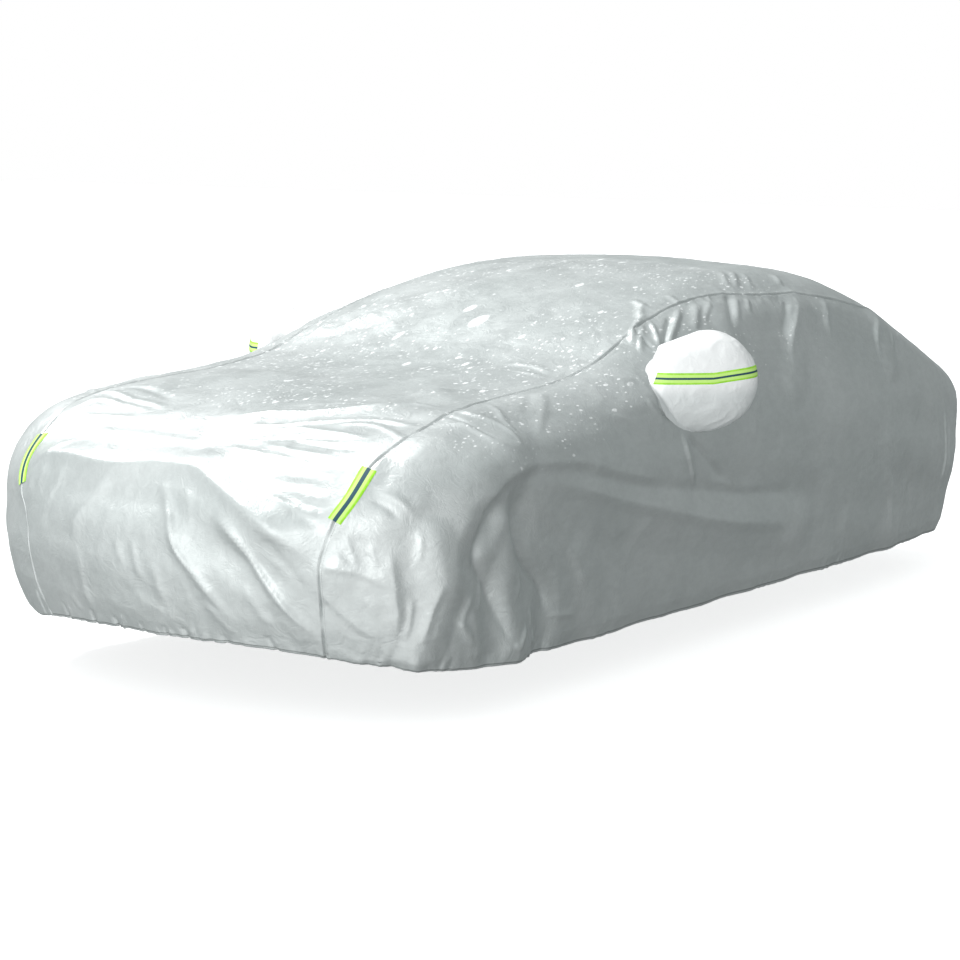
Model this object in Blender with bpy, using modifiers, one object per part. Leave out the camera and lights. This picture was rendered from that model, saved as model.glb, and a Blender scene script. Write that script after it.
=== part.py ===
"""Fitted car cover, long and low, hanging in the shape that it is made to.

The cover is sewn from three panels of thin silvery cloth: one runs over the nose, bonnet, roof
and tail, and one hangs down each side. Each side panel has an opening into a pocket, and
four reflective strips are sewn on: one on each front seam and one round each pocket.

Lengths are in metres. +X is the left-hand side, -Y the front and +Z up. The tables give heights
above the ground; the finished pieces are moved so that the origin is the middle of the
underside of the cover's roof, by which the cover is held up.
"""

import math

import bmesh
import bpy
import numpy as np

# Driving dimensions.
SHEET = 0.0025            # panel cloth with its soft backing
POCKET_SHEET = 0.002      # pocket cloth
STRIP_SHEET = 0.001       # reflective strip
GAP = 0.0003              # between neighbouring pieces
SEAM_GAP = 0.0004         # between two panels at their seam
SEAM_FLAT = 0.024         # flat band that is stitched down on each side of a seam
STRIP_WIDTH = 0.044
HEM_TUCK = 0.012          # how far the elastic draws the hem in
HEM_SIDE = 0.165          # height of the hem along the sides
HEM_RISE = 0.075          # how much higher it is in the middle of the front and the tail
HEM_RISE_FROM = 1.70      # distance fore and aft of the middle where the rise starts
HEM_RISE_OVER = 0.30
HEM_HALF_WIDTH = 0.95
HEM_GUIDE = 1.02          # how far beyond the seam's ends the hem's rough places lie
ROOF_SEAT_Y = 0.45        # where the cover's roof is held up
SIDE_ROWS = 10            # cells of a side panel from its hem up to the seam
CENTRE_COLUMNS = 12       # cells of the centre panel between its seams


def table(columns, rows):
    """A short table, one row for each section, as a dictionary of named columns."""
    return {name: np.array(values) for name, values in zip(columns.split(), zip(*rows))}


# Side view: height of the cover along its middle, and its fall 0.8 m out from there.
TOP_LINE = table("y height fall", [
    (-2.45, 0.600, 0.02), (-2.32, 0.720, 0.02), (-2.20, 0.795, 0.02), (-2.05, 0.860, 0.02),
    (-1.90, 0.915, 0.02), (-1.70, 0.955, 0.02), (-1.45, 0.980, 0.02), (-1.15, 1.000, 0.02),
    (-0.90, 1.035, 0.03), (-0.45, 1.185, 0.045), (-0.10, 1.285, 0.05), (0.25, 1.345, 0.05),
    (0.65, 1.362, 0.05), (0.95, 1.342, 0.05), (1.38, 1.240, 0.05), (1.60, 1.135, 0.05),
    (1.90, 1.005, 0.05), (2.15, 0.920, 0.05), (2.30, 0.885, 0.05), (2.45, 0.810, 0.05)])
FALL_AT = 0.8

# Side view: how far out the front and the tail reach at each height.
FRONT_LINE = table("z y", [
    (0.10, -2.15), (0.17, -2.20), (0.25, -2.25), (0.35, -2.295), (0.50, -2.325),
    (0.62, -2.325), (0.75, -2.30), (1.00, -2.20)])
TAIL_LINE = table("z y", [
    (0.10, 2.15), (0.20, 2.22), (0.40, 2.30), (0.65, 2.36), (0.85, 2.38), (1.00, 2.36),
    (1.20, 2.30)])
FRONT_BOW = 0.24          # how far the front curves back 1 m out from the middle
FRONT_BOW_GROWTH = 0.5
TAIL_BOW = 0.20

# Front view: half the width at each height. Plan: the share of it that is left at each y.
WIDTH_LINE = table("z half", [
    (0.10, 0.915), (0.18, 0.930), (0.35, 0.947), (0.55, 0.955), (0.75, 0.945), (0.90, 0.915),
    (1.00, 0.875), (1.15, 0.790), (1.30, 0.690), (1.45, 0.580)])
PLAN_LINE = table("y share", [
    (-2.40, 0.91), (-2.20, 0.96), (-1.95, 0.99), (-1.70, 1.00), (-1.40, 1.00), (1.00, 1.00),
    (1.50, 0.98), (1.90, 0.935), (2.20, 0.88), (2.50, 0.80)])

# Roundness of the edges between the top, the sides and the two ends.
ROUND_TOP = 0.14
ROUND_SIDE = 0.17
ROUND_END = 0.20

# The line inside the form from which rough places are moved outwards onto it.
SPINE_FROM, SPINE_TO, SPINE_Z = -1.75, 1.85, 0.42
FRONT_ROUTE_FROM_Y = -1.2 # routes given in the front view start here, those in the top view below
TOP_ROUTE_FROM_Z = 0.6
REACH_OUT = 3.0           # farther than any place on the form
HALVINGS = 36
SLOPE_STEP = 0.002

# Left seam from the front hem over the top to the tail hem: rough places, the point of the hem
# below each (where the side panel hangs from it), and the cells up to the next row.
SEAM = table("x y z hem_x hem_y cells", [
    (0.540, -2.120, 0.220, 0.54, -2.12, 5),
    (0.585, -2.190, 0.370, 0.54, -2.12, 5),
    (0.610, -2.222, 0.530, 0.54, -2.12, 2),
    (0.655, -2.212, 0.660, 0.64, -2.10, 2),
    (0.678, -2.155, 0.725, 0.71, -2.07, 2),
    (0.682, -2.088, 0.800, 0.78, -2.03, 2),
    (0.692, -1.980, 0.865, 0.87, -1.95, 3),
    (0.705, -1.830, 0.918, 0.95, -1.82, 3),
    (0.695, -1.600, 0.952, 0.98, -1.62, 4),
    (0.655, -1.300, 0.978, 0.98, -1.32, 3),
    (0.665, -0.980, 1.003, 1.00, -0.98, 3),
    (0.670, -0.720, 1.055, 1.00, -0.72, 2),
    (0.665, -0.450, 1.150, 1.00, -0.45, 3),
    (0.652, -0.150, 1.225, 1.00, -0.15, 3),
    (0.672, 0.150, 1.258, 1.00, 0.15, 2),
    (0.705, 0.450, 1.243, 1.00, 0.45, 2),
    (0.718, 0.750, 1.236, 1.00, 0.75, 2),
    (0.750, 1.200, 1.175, 1.00, 1.20, 2),
    (0.740, 1.550, 1.080, 1.00, 1.55, 2),
    (0.710, 1.900, 0.955, 0.95, 1.88, 2),
    (0.680, 2.120, 0.890, 0.85, 2.02, 3),
    (0.650, 2.245, 0.800, 0.74, 2.10, 3),
    (0.610, 2.300, 0.620, 0.56, 2.17, 5),
    (0.575, 2.250, 0.420, 0.56, 2.17, 5),
    (0.540, 2.170, 0.240, 0.56, 2.17, 0)])
FRONT_CORNER = 2          # row where the seam's upright front stretch ends
TAIL_CORNER = 22          # row where its upright tail stretch starts
STRIP_FROM, STRIP_TO = 3, 5
CORNER_FADE = 3.0         # rows over which a side panel's upright edges shape its inside

# Main folds. Each row: the view in which its route is given (side: y, z; front: x, z; top:
# x, y), the route, its reach to each side and its rise (a trough where negative).
FRONT_FOLDS = [
    ("front", [(-0.62, 0.73), (-0.20, 0.76), (0.05, 0.77), (0.24, 0.72), (0.49, 0.60),
               (0.62, 0.52)], 0.13, 0.014),
    ("front", [(0.00, 0.72), (0.10, 0.58), (0.19, 0.46), (0.30, 0.27)], 0.10, 0.016),
    ("front", [(0.23, 0.67), (0.38, 0.54), (0.47, 0.40), (0.57, 0.25)], 0.10, 0.020),
    ("front", [(-0.20, 0.74), (-0.32, 0.58), (-0.38, 0.40)], 0.12, 0.014),
    ("front", [(-0.08, 0.66), (-0.06, 0.40)], 0.10, -0.010),
    ("front", [(0.22, 0.58), (0.40, 0.30)], 0.10, -0.010),
    ("front", [(0.12, 0.80), (0.34, 0.82), (0.66, 0.80)], 0.09, 0.009),
    ("top", [(0.05, -1.92), (0.30, -1.74), (0.68, -1.67), (0.92, -1.67)], 0.12, 0.012),
    ("top", [(-0.62, -1.95), (-0.55, -1.60), (-0.30, -1.30)], 0.13, 0.010),
    ("top", [(0.30, -1.20), (0.55, -1.47), (0.88, -1.60)], 0.11, 0.009),
    ("top", [(-0.55, -0.62), (-0.20, -0.20), (-0.05, 0.05)], 0.12, 0.008)]

# Side folds as on the left-hand side, which shows, and on the far side, which is guessed.
LEFT_FOLDS = [
    ("side", [(-1.95, 0.52), (-1.86, 0.70), (-1.70, 0.79), (-1.45, 0.80), (-1.07, 0.74),
              (-0.62, 0.64)], 0.17, 0.020),
    ("side", [(-1.84, 0.66), (-1.89, 0.55), (-1.80, 0.40), (-1.74, 0.22)], 0.08, -0.022),
    ("side", [(-1.66, 0.66), (-1.60, 0.52), (-1.49, 0.38), (-1.45, 0.22)], 0.10, -0.024),
    ("side", [(-1.74, 0.62), (-1.70, 0.42), (-1.60, 0.20)], 0.09, 0.020),
    ("side", [(-2.02, 0.60), (-1.99, 0.42), (-2.00, 0.22)], 0.09, 0.016),
    ("side", [(-1.50, 0.70), (-0.91, 0.58), (-0.21, 0.45), (0.35, 0.38)], 0.14, 0.014),
    ("side", [(-1.10, 0.70), (-0.11, 0.57), (0.50, 0.50)], 0.12, -0.008),
    ("side", [(-1.25, 0.48), (-1.12, 0.20)], 0.12, 0.010),
    ("side", [(0.70, 1.20), (0.52, 1.08), (0.36, 0.92)], 0.11, 0.014),
    ("side", [(1.34, 1.12), (1.26, 0.94)], 0.10, 0.011),
    ("side", [(0.05, 1.20), (0.00, 1.02)], 0.10, 0.008),
    ("side", [(1.20, 0.62), (1.75, 0.50), (2.05, 0.46)], 0.15, 0.012),
    ("side", [(0.80, 0.32), (1.30, 0.24)], 0.12, 0.008)]
RIGHT_FOLDS = [
    ("side", [(-1.93, 0.50), (-1.80, 0.72), (-1.52, 0.80), (-1.10, 0.76), (-0.70, 0.67)], 0.18, 0.018),
    ("side", [(-1.88, 0.60), (-1.78, 0.42), (-1.80, 0.22)], 0.09, -0.018),
    ("side", [(-1.58, 0.64), (-1.52, 0.44), (-1.36, 0.24)], 0.11, -0.021),
    ("side", [(-1.40, 0.66), (-0.70, 0.50), (0.05, 0.44)], 0.14, 0.013),
    ("side", [(-0.90, 0.60), (0.10, 0.52), (0.70, 0.55)], 0.12, -0.008),
    ("side", [(0.60, 1.20), (0.46, 1.04), (0.40, 0.88)], 0.11, 0.012),
    ("side", [(1.22, 1.14), (1.18, 0.96)], 0.10, 0.012),
    ("side", [(1.05, 0.58), (1.60, 0.52), (2.05, 0.44)], 0.15, 0.014),
    ("side", [(0.30, 0.36), (0.62, 0.20)], 0.12, 0.009)]

# Slack of the hem between the elastic's gathers: waves to the metre and depth.
HEM_WAVES = table("waves depth start", [(1.7, 0.004, 0.4), (3.1, 0.003, 1.9)])
HEM_WAVE_HEIGHT = 0.22
HEM_WAVE_SLANT = 0.7      # share of the distance outwards that shifts a wave
HEM_TUCK_FROM = 0.75      # share of the way down the waves where the elastic starts to draw in

# Pockets: each a hollow bulge with a straight neck through the side panel.
POCKET_CENTRE = (0.955, -0.450, 0.990)
POCKET_HALF = (0.155, 0.125, 0.180)      # outwards, fore and aft, upwards
POCKET_LEAN = 0.60        # how far the tip lies back, as a share of its distance outwards
POCKET_NECK = (0.112, 0.118)             # half of the neck: fore and aft, upwards
POCKET_SPOKES = 20
POCKET_TURN = table("turn", [(26,), (48,), (70,), (92,), (112,)])   # degrees round from the tip
NECK_INSIDE = 0.012
NECK_OUTSIDE = 0.010
POCKET_CLEAR = 0.022      # between the bulge and the side panel
POCKET_STRIP_WIDTH = 0.040
POCKET_BAND = 0.023       # half of the pocket's flat band, on which the strip lies
POCKET_BAND_RISE = 0.018  # how far the band runs above the pocket's middle
CUTTER_FROM, CUTTER_TO = 0.5, 1.2

# Finishes: colour, roughness, metallic.
FINISHES = {
    "cover_cloth": ((0.52, 0.56, 0.56), 0.38, 0.35),
    "pocket_cloth": ((0.78, 0.80, 0.80), 0.30, 0.45),
    "reflective_strip": ((0.50, 0.85, 0.05), 0.40, 0.0)}


def along(lines, column, at):
    """Smooth value of a column at places of the table's first column, without overshoot."""
    keys, values = list(lines.values())[0], lines[column]
    at = np.clip(at, keys[0], keys[-1])
    step = np.diff(keys)
    slope = np.diff(values) / step
    bend = np.concatenate([slope[:1], np.zeros(len(slope) - 1), slope[-1:]])
    for row in range(1, len(slope)):
        before, after = slope[row - 1], slope[row]
        if before * after > 0:
            weight_before = 2 * step[row] + step[row - 1]
            weight_after = step[row] + 2 * step[row - 1]
            weights = weight_before + weight_after
            bend[row] = weights / (weight_before / before + weight_after / after)
    row = np.clip(np.searchsorted(keys, at, side="right") - 1, 0, len(step) - 1)
    t = (at - keys[row]) / step[row]
    return ((1 + 2 * t) * (1 - t) ** 2 * values[row] + t * (1 - t) ** 2 * step[row] * bend[row]
            + t * t * (3 - 2 * t) * values[row + 1] + t * t * (t - 1) * step[row] * bend[row + 1])


def outside(points):
    """Above zero outside the cover's form, below zero inside it."""
    x, y, z = np.abs(points[..., 0]), points[..., 1], points[..., 2]
    top = along(TOP_LINE, "height", y) - along(TOP_LINE, "fall", y) * (x / FALL_AT) ** 2
    front = along(FRONT_LINE, "y", z) + FRONT_BOW * x ** 2 * (1 + FRONT_BOW_GROWTH * x ** 2)
    tail = along(TAIL_LINE, "y", z) - TAIL_BOW * x ** 2
    half = along(WIDTH_LINE, "half", z) * along(PLAN_LINE, "share", y)
    edges = [(z - top) / ROUND_TOP, (x - half) / ROUND_SIDE,
             (front - y) / ROUND_END, (y - tail) / ROUND_END]
    return sum(np.maximum(0, 1 + edge) ** 2 for edge in edges) - 1


def unit(vectors):
    return vectors / np.linalg.norm(vectors, axis=-1, keepdims=True)


def reach_form(starts, directions):
    """Where straight lines from inside the form leave it."""
    directions = unit(directions)
    near = np.zeros(starts.shape[:-1] + (1,))
    far = near + REACH_OUT
    for _ in range(HALVINGS):
        middle = (near + far) / 2
        out = (outside(starts + middle * directions) > 0)[..., None]
        near, far = np.where(out, near, middle), np.where(out, middle, far)
    return starts + near * directions


def on_form(points):
    """Rough places, moved outwards from the spine onto the form."""
    starts = np.zeros_like(points)
    starts[..., 1] = np.clip(points[..., 1], SPINE_FROM, SPINE_TO)
    starts[..., 2] = np.minimum(points[..., 2], SPINE_Z)
    return reach_form(starts, points - starts)


def outward(points):
    """Direction in which the form faces."""
    steps = SLOPE_STEP * np.eye(3)
    slopes = [outside(points + step) - outside(points - step) for step in steps]
    return unit(np.stack(slopes, axis=-1))


def fold_route(view, route, side):
    """The points of a fold on the form; side is 1 for its left half and -1 for its right."""
    a, b = np.array(route).T
    zero = np.zeros(len(a))
    if view == "side":
        starts, direction = np.stack([zero, a, b], -1), (side, 0, 0)
    elif view == "front":
        starts, direction = np.stack([a, zero + FRONT_ROUTE_FROM_Y, b], -1), (0, -1, 0)
    else:
        starts, direction = np.stack([a, b, zero + TOP_ROUTE_FROM_Z], -1), (0, 0, 1)
    return reach_form(starts, np.broadcast_to(np.array(direction, float), starts.shape))


def distance_to(points, route):
    """Distance from each point to a route of straight stretches."""
    nearest = np.full(points.shape[:-1], np.inf)
    for start, end in zip(route[:-1], route[1:]):
        stretch = end - start
        share = np.clip(((points - start) @ stretch) / (stretch @ stretch), 0, 1)
        away = points - start - share[..., None] * stretch
        nearest = np.minimum(nearest, np.linalg.norm(away, axis=-1))
    return nearest


def fold_rise(points):
    """How far the folds and the slack of the hem lift or sink the cloth at each point."""
    rise = np.zeros(points.shape[:-1])
    for folds, side in ((FRONT_FOLDS, 1), (LEFT_FOLDS, 1), (RIGHT_FOLDS, -1)):
        for view, route, reach, height in folds:
            share = distance_to(points, fold_route(view, route, side)) / reach
            rise += height * np.clip(1 - share ** 2, 0, 1) ** 2
    low = np.clip((HEM_SIDE + HEM_WAVE_HEIGHT - points[..., 2]) / HEM_WAVE_HEIGHT, 0, 1)
    way = points[..., 1] - HEM_WAVE_SLANT * points[..., 0]
    for waves, depth, start in zip(*HEM_WAVES.values()):
        rise += low * depth * np.sin(2 * math.pi * waves * way + start)
    tucked = np.clip((low - HEM_TUCK_FROM) / (1 - HEM_TUCK_FROM), 0, 1)
    return rise - HEM_TUCK * tucked


def hem_height(x, y):
    """The hem is level along the sides and rises in the middle of the front and the tail."""
    end = np.clip((np.abs(y) - HEM_RISE_FROM) / HEM_RISE_OVER, 0, 1)
    return HEM_SIDE + end * HEM_RISE * np.maximum(0, 1 - (x / HEM_HALF_WIDTH) ** 2)


def seam_stops():
    """Places along the seam, in rows of its table, at which the mesh has a point."""
    stops = []
    for row, cells in enumerate(SEAM["cells"]):
        stops += [row + step / cells for step in range(int(cells))]
    return np.array(stops + [len(SEAM["cells"]) - 1.0])


def seam_value(column, stops):
    rows = {"row": np.arange(len(SEAM["x"]), dtype=float), column: SEAM[column]}
    return along(rows, column, stops)


STOPS = seam_stops()


def seam_guides(stops):
    """Rough places of the left seam."""
    return np.stack([seam_value(column, stops) for column in ("x", "y", "z")], axis=-1)


def draped(points):
    """Rough places, moved onto the form and then out or in with the folds."""
    placed = on_form(points)
    return placed + fold_rise(placed)[..., None] * outward(placed)


def seam_line(side):
    """The seam's points, the direction across it towards the centre panel, and outwards."""
    flip = np.array([side, 1, 1])
    base = on_form(seam_guides(STOPS)) * flip
    line = base + fold_rise(base)[:, None] * outward(base)
    tangent = np.gradient(line, axis=0)
    across = unit(np.cross(outward(base), tangent) * side)
    under_strip = (STOPS >= STRIP_FROM) & (STOPS <= STRIP_TO)
    across[under_strip] = unit(across[under_strip].mean(axis=0))
    return line, across, unit(np.cross(tangent, across) * side)


def centre_places():
    """Points of the centre panel, a row for each stop of the seam, from the right to the left."""
    left, left_across, _ = seam_line(1)
    right, right_across, _ = seam_line(-1)
    left_flat, right_flat = left + SEAM_FLAT * left_across, right + SEAM_FLAT * right_across
    shares = np.linspace(0, 1, CENTRE_COLUMNS - 1)[1:-1, None]
    guide = seam_guides(STOPS)
    rows = []
    for stop in range(len(STOPS)):
        inner = right_flat[stop] + shares * (left_flat[stop] - right_flat[stop])
        if stop in (0, len(STOPS) - 1):
            inner[:, 1] = guide[stop, 1] * HEM_GUIDE
            inner[:, 2] = hem_height(inner[:, 0], inner[:, 1])
        rows.append(np.vstack([right[stop] + SEAM_GAP / 2 * right_across[stop], right_flat[stop],
                               draped(inner),
                               left_flat[stop], left[stop] + SEAM_GAP / 2 * left_across[stop]]))
    return np.array(rows)


def side_places(side):
    """Points of a side panel: a row for each height from the hem up, columns from front to tail."""
    line, across, _ = seam_line(side)
    top = [stop for stop, row in enumerate(STOPS) if FRONT_CORNER <= row <= TAIL_CORNER]
    stops = STOPS[top]
    seam = seam_guides(stops)
    hem_x, hem_y = seam_value("hem_x", stops), seam_value("hem_y", stops)
    hem = np.stack([hem_x, hem_y, hem_height(hem_x, hem_y)], -1)
    up = np.linspace(0, 1, SIDE_ROWS + 1)[:, None, None]
    places = hem + up * (seam - hem)
    front_stops, tail_stops = STOPS[:SIDE_ROWS + 1], STOPS[:-SIDE_ROWS - 2:-1]
    edges = ((seam_guides(front_stops), 0, stops - FRONT_CORNER),
             (seam_guides(tail_stops), -1, TAIL_CORNER - stops))
    for edge, column, away in edges:
        fade = np.clip(1 - away / CORNER_FADE, 0, 1) ** 2
        places = places + fade[None, :, None] * (edge - places[:, column])[:, None]
    places = draped(places * np.array([side, 1, 1]))

    flat, rim = line - SEAM_FLAT * across, line - SEAM_GAP / 2 * across
    places[-2, 1:-1], places[-1] = flat[top][1:-1], rim[top]
    for column, inner, order in ((0, 1, slice(None, None, 1)), (-1, -2, slice(None, None, -1))):
        places[:-1, inner] = flat[order][:SIDE_ROWS]
        places[:, column] = rim[order][:SIDE_ROWS + 1]
    places[-2, 1], places[-2, -2] = flat[top[0]], flat[top[-1]]
    return places if side > 0 else places[:, ::-1]


def strip_places(side):
    """Points of the reflective strip on a front seam, just outside the two panels."""
    line, across, facing = seam_line(side)
    under = (STOPS >= STRIP_FROM) & (STOPS <= STRIP_TO)
    offsets = np.array([-0.5, 0.0, 0.5]) * STRIP_WIDTH * side
    lifted = line[under] + GAP * facing[under]
    return lifted[:, None] - offsets[None, :, None] * across[under][:, None]


def pocket_ring(wide, high, x, shift=0.0, clearance=0.0):
    """One ring of a pocket round its middle; six spokes stay flat under its strip."""
    spokes = np.arange(POCKET_SPOKES) * 2 * math.pi / POCKET_SPOKES
    y, z = wide * np.cos(spokes), high * np.sin(spokes)
    for middle in (0, POCKET_SPOKES // 2):
        for step in (-1, 0, 1):
            up = step if middle == 0 else -step
            y[middle + step] = y[middle]
            z[middle + step] = POCKET_BAND_RISE + up * (POCKET_BAND + clearance)
    return np.stack([x + 0 * y, POCKET_CENTRE[1] + shift + y, POCKET_CENTRE[2] + z], axis=-1)


def off_panel(ring, standoff):
    """How far out each point of a ring is where it stands off from the side panel."""
    starts = ring * np.array([0, 1, 1])
    return reach_form(starts, np.broadcast_to([1.0, 0, 0], ring.shape))[:, 0] + standoff


def pocket_rings(side):
    """All rings of a pocket, from the tip back to the neck's inner end."""
    rings = []
    for turn in np.radians(POCKET_TURN["turn"]):
        wide, high = (half * math.sin(turn) for half in POCKET_HALF[1:])
        out = POCKET_HALF[0] * math.cos(turn)
        lean_back = POCKET_LEAN * max(out, 0)
        ring = pocket_ring(wide, high, POCKET_CENTRE[0] + out, lean_back)
        ring[:, 0] = np.maximum(ring[:, 0], off_panel(ring, POCKET_CLEAR))
        rings.append(ring)
    for standoff in (NECK_OUTSIDE, -NECK_INSIDE):
        ring = pocket_ring(*POCKET_NECK, 0)
        ring[:, 0] = off_panel(ring, standoff)
        rings.append(ring)
    return [ring * np.array([side, 1, 1]) for ring in rings]


def pocket_strip_places(side):
    """Points of the strip round a pocket, from its front edge over the tip to its back."""
    half = POCKET_SPOKES // 2
    rings = pocket_rings(side)
    route = [ring[half] for ring in rings[-3::-1]] + [ring[0] for ring in rings[:4]]
    route = np.array(route)
    tangent = np.gradient(route, axis=0)
    facing = unit(np.stack([tangent[:, 1], -tangent[:, 0], 0 * tangent[:, 2]], -1) * side)
    lifted = route + 2 * GAP * facing
    heights = np.array([0.5, 0.0, -0.5]) * POCKET_STRIP_WIDTH * side
    return lifted[:, None] + heights[None, :, None] * np.array([0, 0, 1.0])


SEAT = np.array([0, ROOF_SEAT_Y, float(along(TOP_LINE, "height", ROOF_SEAT_Y)) - SHEET])


def clear_scene():
    for thing in list(bpy.data.objects):
        bpy.data.objects.remove(thing, do_unlink=True)


def new_collection(name):
    collection = bpy.data.collections.new(name)
    bpy.context.scene.collection.children.link(collection)
    return collection


def keep_in(thing, collection):
    for holder in list(thing.users_collection):
        holder.objects.unlink(thing)
    collection.objects.link(thing)


def finish(name):
    colour, roughness, metallic = FINISHES[name]
    material = bpy.data.materials.new(name)
    material.use_nodes = True
    shader = material.node_tree.nodes["Principled BSDF"]
    shader.inputs["Base Color"].default_value = (*colour, 1)
    shader.inputs["Roughness"].default_value = roughness
    shader.inputs["Metallic"].default_value = metallic
    return material


def thicken(thing, thickness, outwards=False):
    shell = thing.modifiers.new("thickness", "SOLIDIFY")
    shell.thickness = thickness
    shell.offset = 1.0 if outwards else -1.0
    shell.use_quality_normals = True


def sheet(name, places, thickness, material, collection, outwards=False):
    """A flat grid whose points are moved to their places, given its thickness."""
    rows, columns = places.shape[0] - 1, places.shape[1] - 1
    bpy.ops.mesh.primitive_grid_add(x_subdivisions=columns, y_subdivisions=rows, size=2)
    cloth = bpy.context.active_object
    cloth.name = cloth.data.name = name
    for point in cloth.data.vertices:
        column = round((point.co.x + 1) / 2 * columns)
        row = round((point.co.y + 1) / 2 * rows)
        point.co = places[row, column] - SEAT
    cloth.data.shade_smooth()
    cloth.data.materials.append(material)
    keep_in(cloth, collection)
    thicken(cloth, thickness, outwards)
    return cloth


def grown_from(point, fresh):
    """The new point at the far end of the edge that was pulled out of this one."""
    for side in point.link_edges:
        if side.other_vert(point) in fresh:
            return side.other_vert(point)
    return None


def lofted(name, rings, cap_last):
    """A disc of the first ring, extended ring by ring."""
    mesh = bpy.data.meshes.new(name)
    work = bmesh.new()
    bmesh.ops.create_circle(work, cap_ends=True, radius=1.0, segments=len(rings[0]))
    work.verts.ensure_lookup_table()
    edge = list(work.verts)
    for point, place in zip(edge, rings[0]):
        point.co = place - SEAT
    for ring in rings[1:]:
        sides = [work.edges.get((a, b)) for a, b in zip(edge, edge[1:] + edge[:1])]
        grown = bmesh.ops.extrude_edge_only(work, edges=sides)["geom"]
        fresh = [item for item in grown if isinstance(item, bmesh.types.BMVert)]
        edge = [grown_from(point, fresh) for point in edge]
        for point, place in zip(edge, ring):
            point.co = place - SEAT
    if cap_last:
        work.faces.new(edge)
    bmesh.ops.recalc_face_normals(work, faces=work.faces)
    work.to_mesh(mesh)
    work.free()
    thing = bpy.data.objects.new(name, mesh)
    mesh.shade_smooth()
    return thing


def side_pocket(name, side, material, collection):
    pocket = lofted(name, pocket_rings(side), cap_last=False)
    pocket.data.materials.append(material)
    collection.objects.link(pocket)
    thicken(pocket, POCKET_SHEET)
    return pocket


def cut_pocket_opening(panel, side, cutters):
    """The opening of a side panel, in which the neck of its pocket sits."""
    wide, high = (half + GAP for half in POCKET_NECK)
    rings = [pocket_ring(wide, high, side * x, clearance=GAP) for x in (CUTTER_TO, CUTTER_FROM)]
    cutter = lofted(panel.name + "_opening", rings, cap_last=True)
    cutters.objects.link(cutter)
    cutter.hide_render = True
    cutter.display_type = "WIRE"
    cut = panel.modifiers.new("pocket opening", "BOOLEAN")
    cut.operation = "DIFFERENCE"
    cut.object = cutter


def build_cover():
    clear_scene()
    cover = new_collection("car_cover")
    cutters = new_collection("cutters")
    cloth, pocket_cloth, reflective = (finish(name) for name in FINISHES)
    sheet("centre_panel", centre_places(), SHEET, cloth, cover)
    for word, side in (("left", 1), ("right", -1)):
        panel = sheet(word + "_side_panel", side_places(side), SHEET, cloth, cover)
        cut_pocket_opening(panel, side, cutters)
        side_pocket(word + "_mirror_pocket", side, pocket_cloth, cover)
        sheet("front_" + word + "_strip", strip_places(side), STRIP_SHEET, reflective, cover,
              outwards=True)
        sheet(word + "_pocket_strip", pocket_strip_places(side), STRIP_SHEET, reflective, cover,
              outwards=True)


build_cover()
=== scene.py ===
import math
import bpy
import numpy as np
from mathutils import Matrix, Vector
from mathutils.bvhtree import BVHTree


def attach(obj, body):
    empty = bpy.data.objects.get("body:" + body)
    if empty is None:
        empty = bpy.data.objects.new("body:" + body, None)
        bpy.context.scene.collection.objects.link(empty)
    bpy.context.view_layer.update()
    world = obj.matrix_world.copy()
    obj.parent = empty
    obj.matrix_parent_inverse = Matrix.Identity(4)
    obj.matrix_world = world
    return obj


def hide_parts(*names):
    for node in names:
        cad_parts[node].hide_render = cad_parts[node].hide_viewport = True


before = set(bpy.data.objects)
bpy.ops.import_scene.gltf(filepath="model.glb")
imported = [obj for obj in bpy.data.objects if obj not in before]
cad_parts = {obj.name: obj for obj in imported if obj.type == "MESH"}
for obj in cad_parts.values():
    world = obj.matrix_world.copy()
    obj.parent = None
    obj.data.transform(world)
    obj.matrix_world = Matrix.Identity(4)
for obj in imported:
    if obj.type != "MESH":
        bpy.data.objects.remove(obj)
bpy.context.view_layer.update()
print("frame loaded:", len(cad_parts), "nodes")


# A short table, one row for each section, as a dictionary of named columns.
def columns(names, rows):
    return {name: np.array(values) for name, values in zip(names.split(), zip(*rows))}


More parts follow.
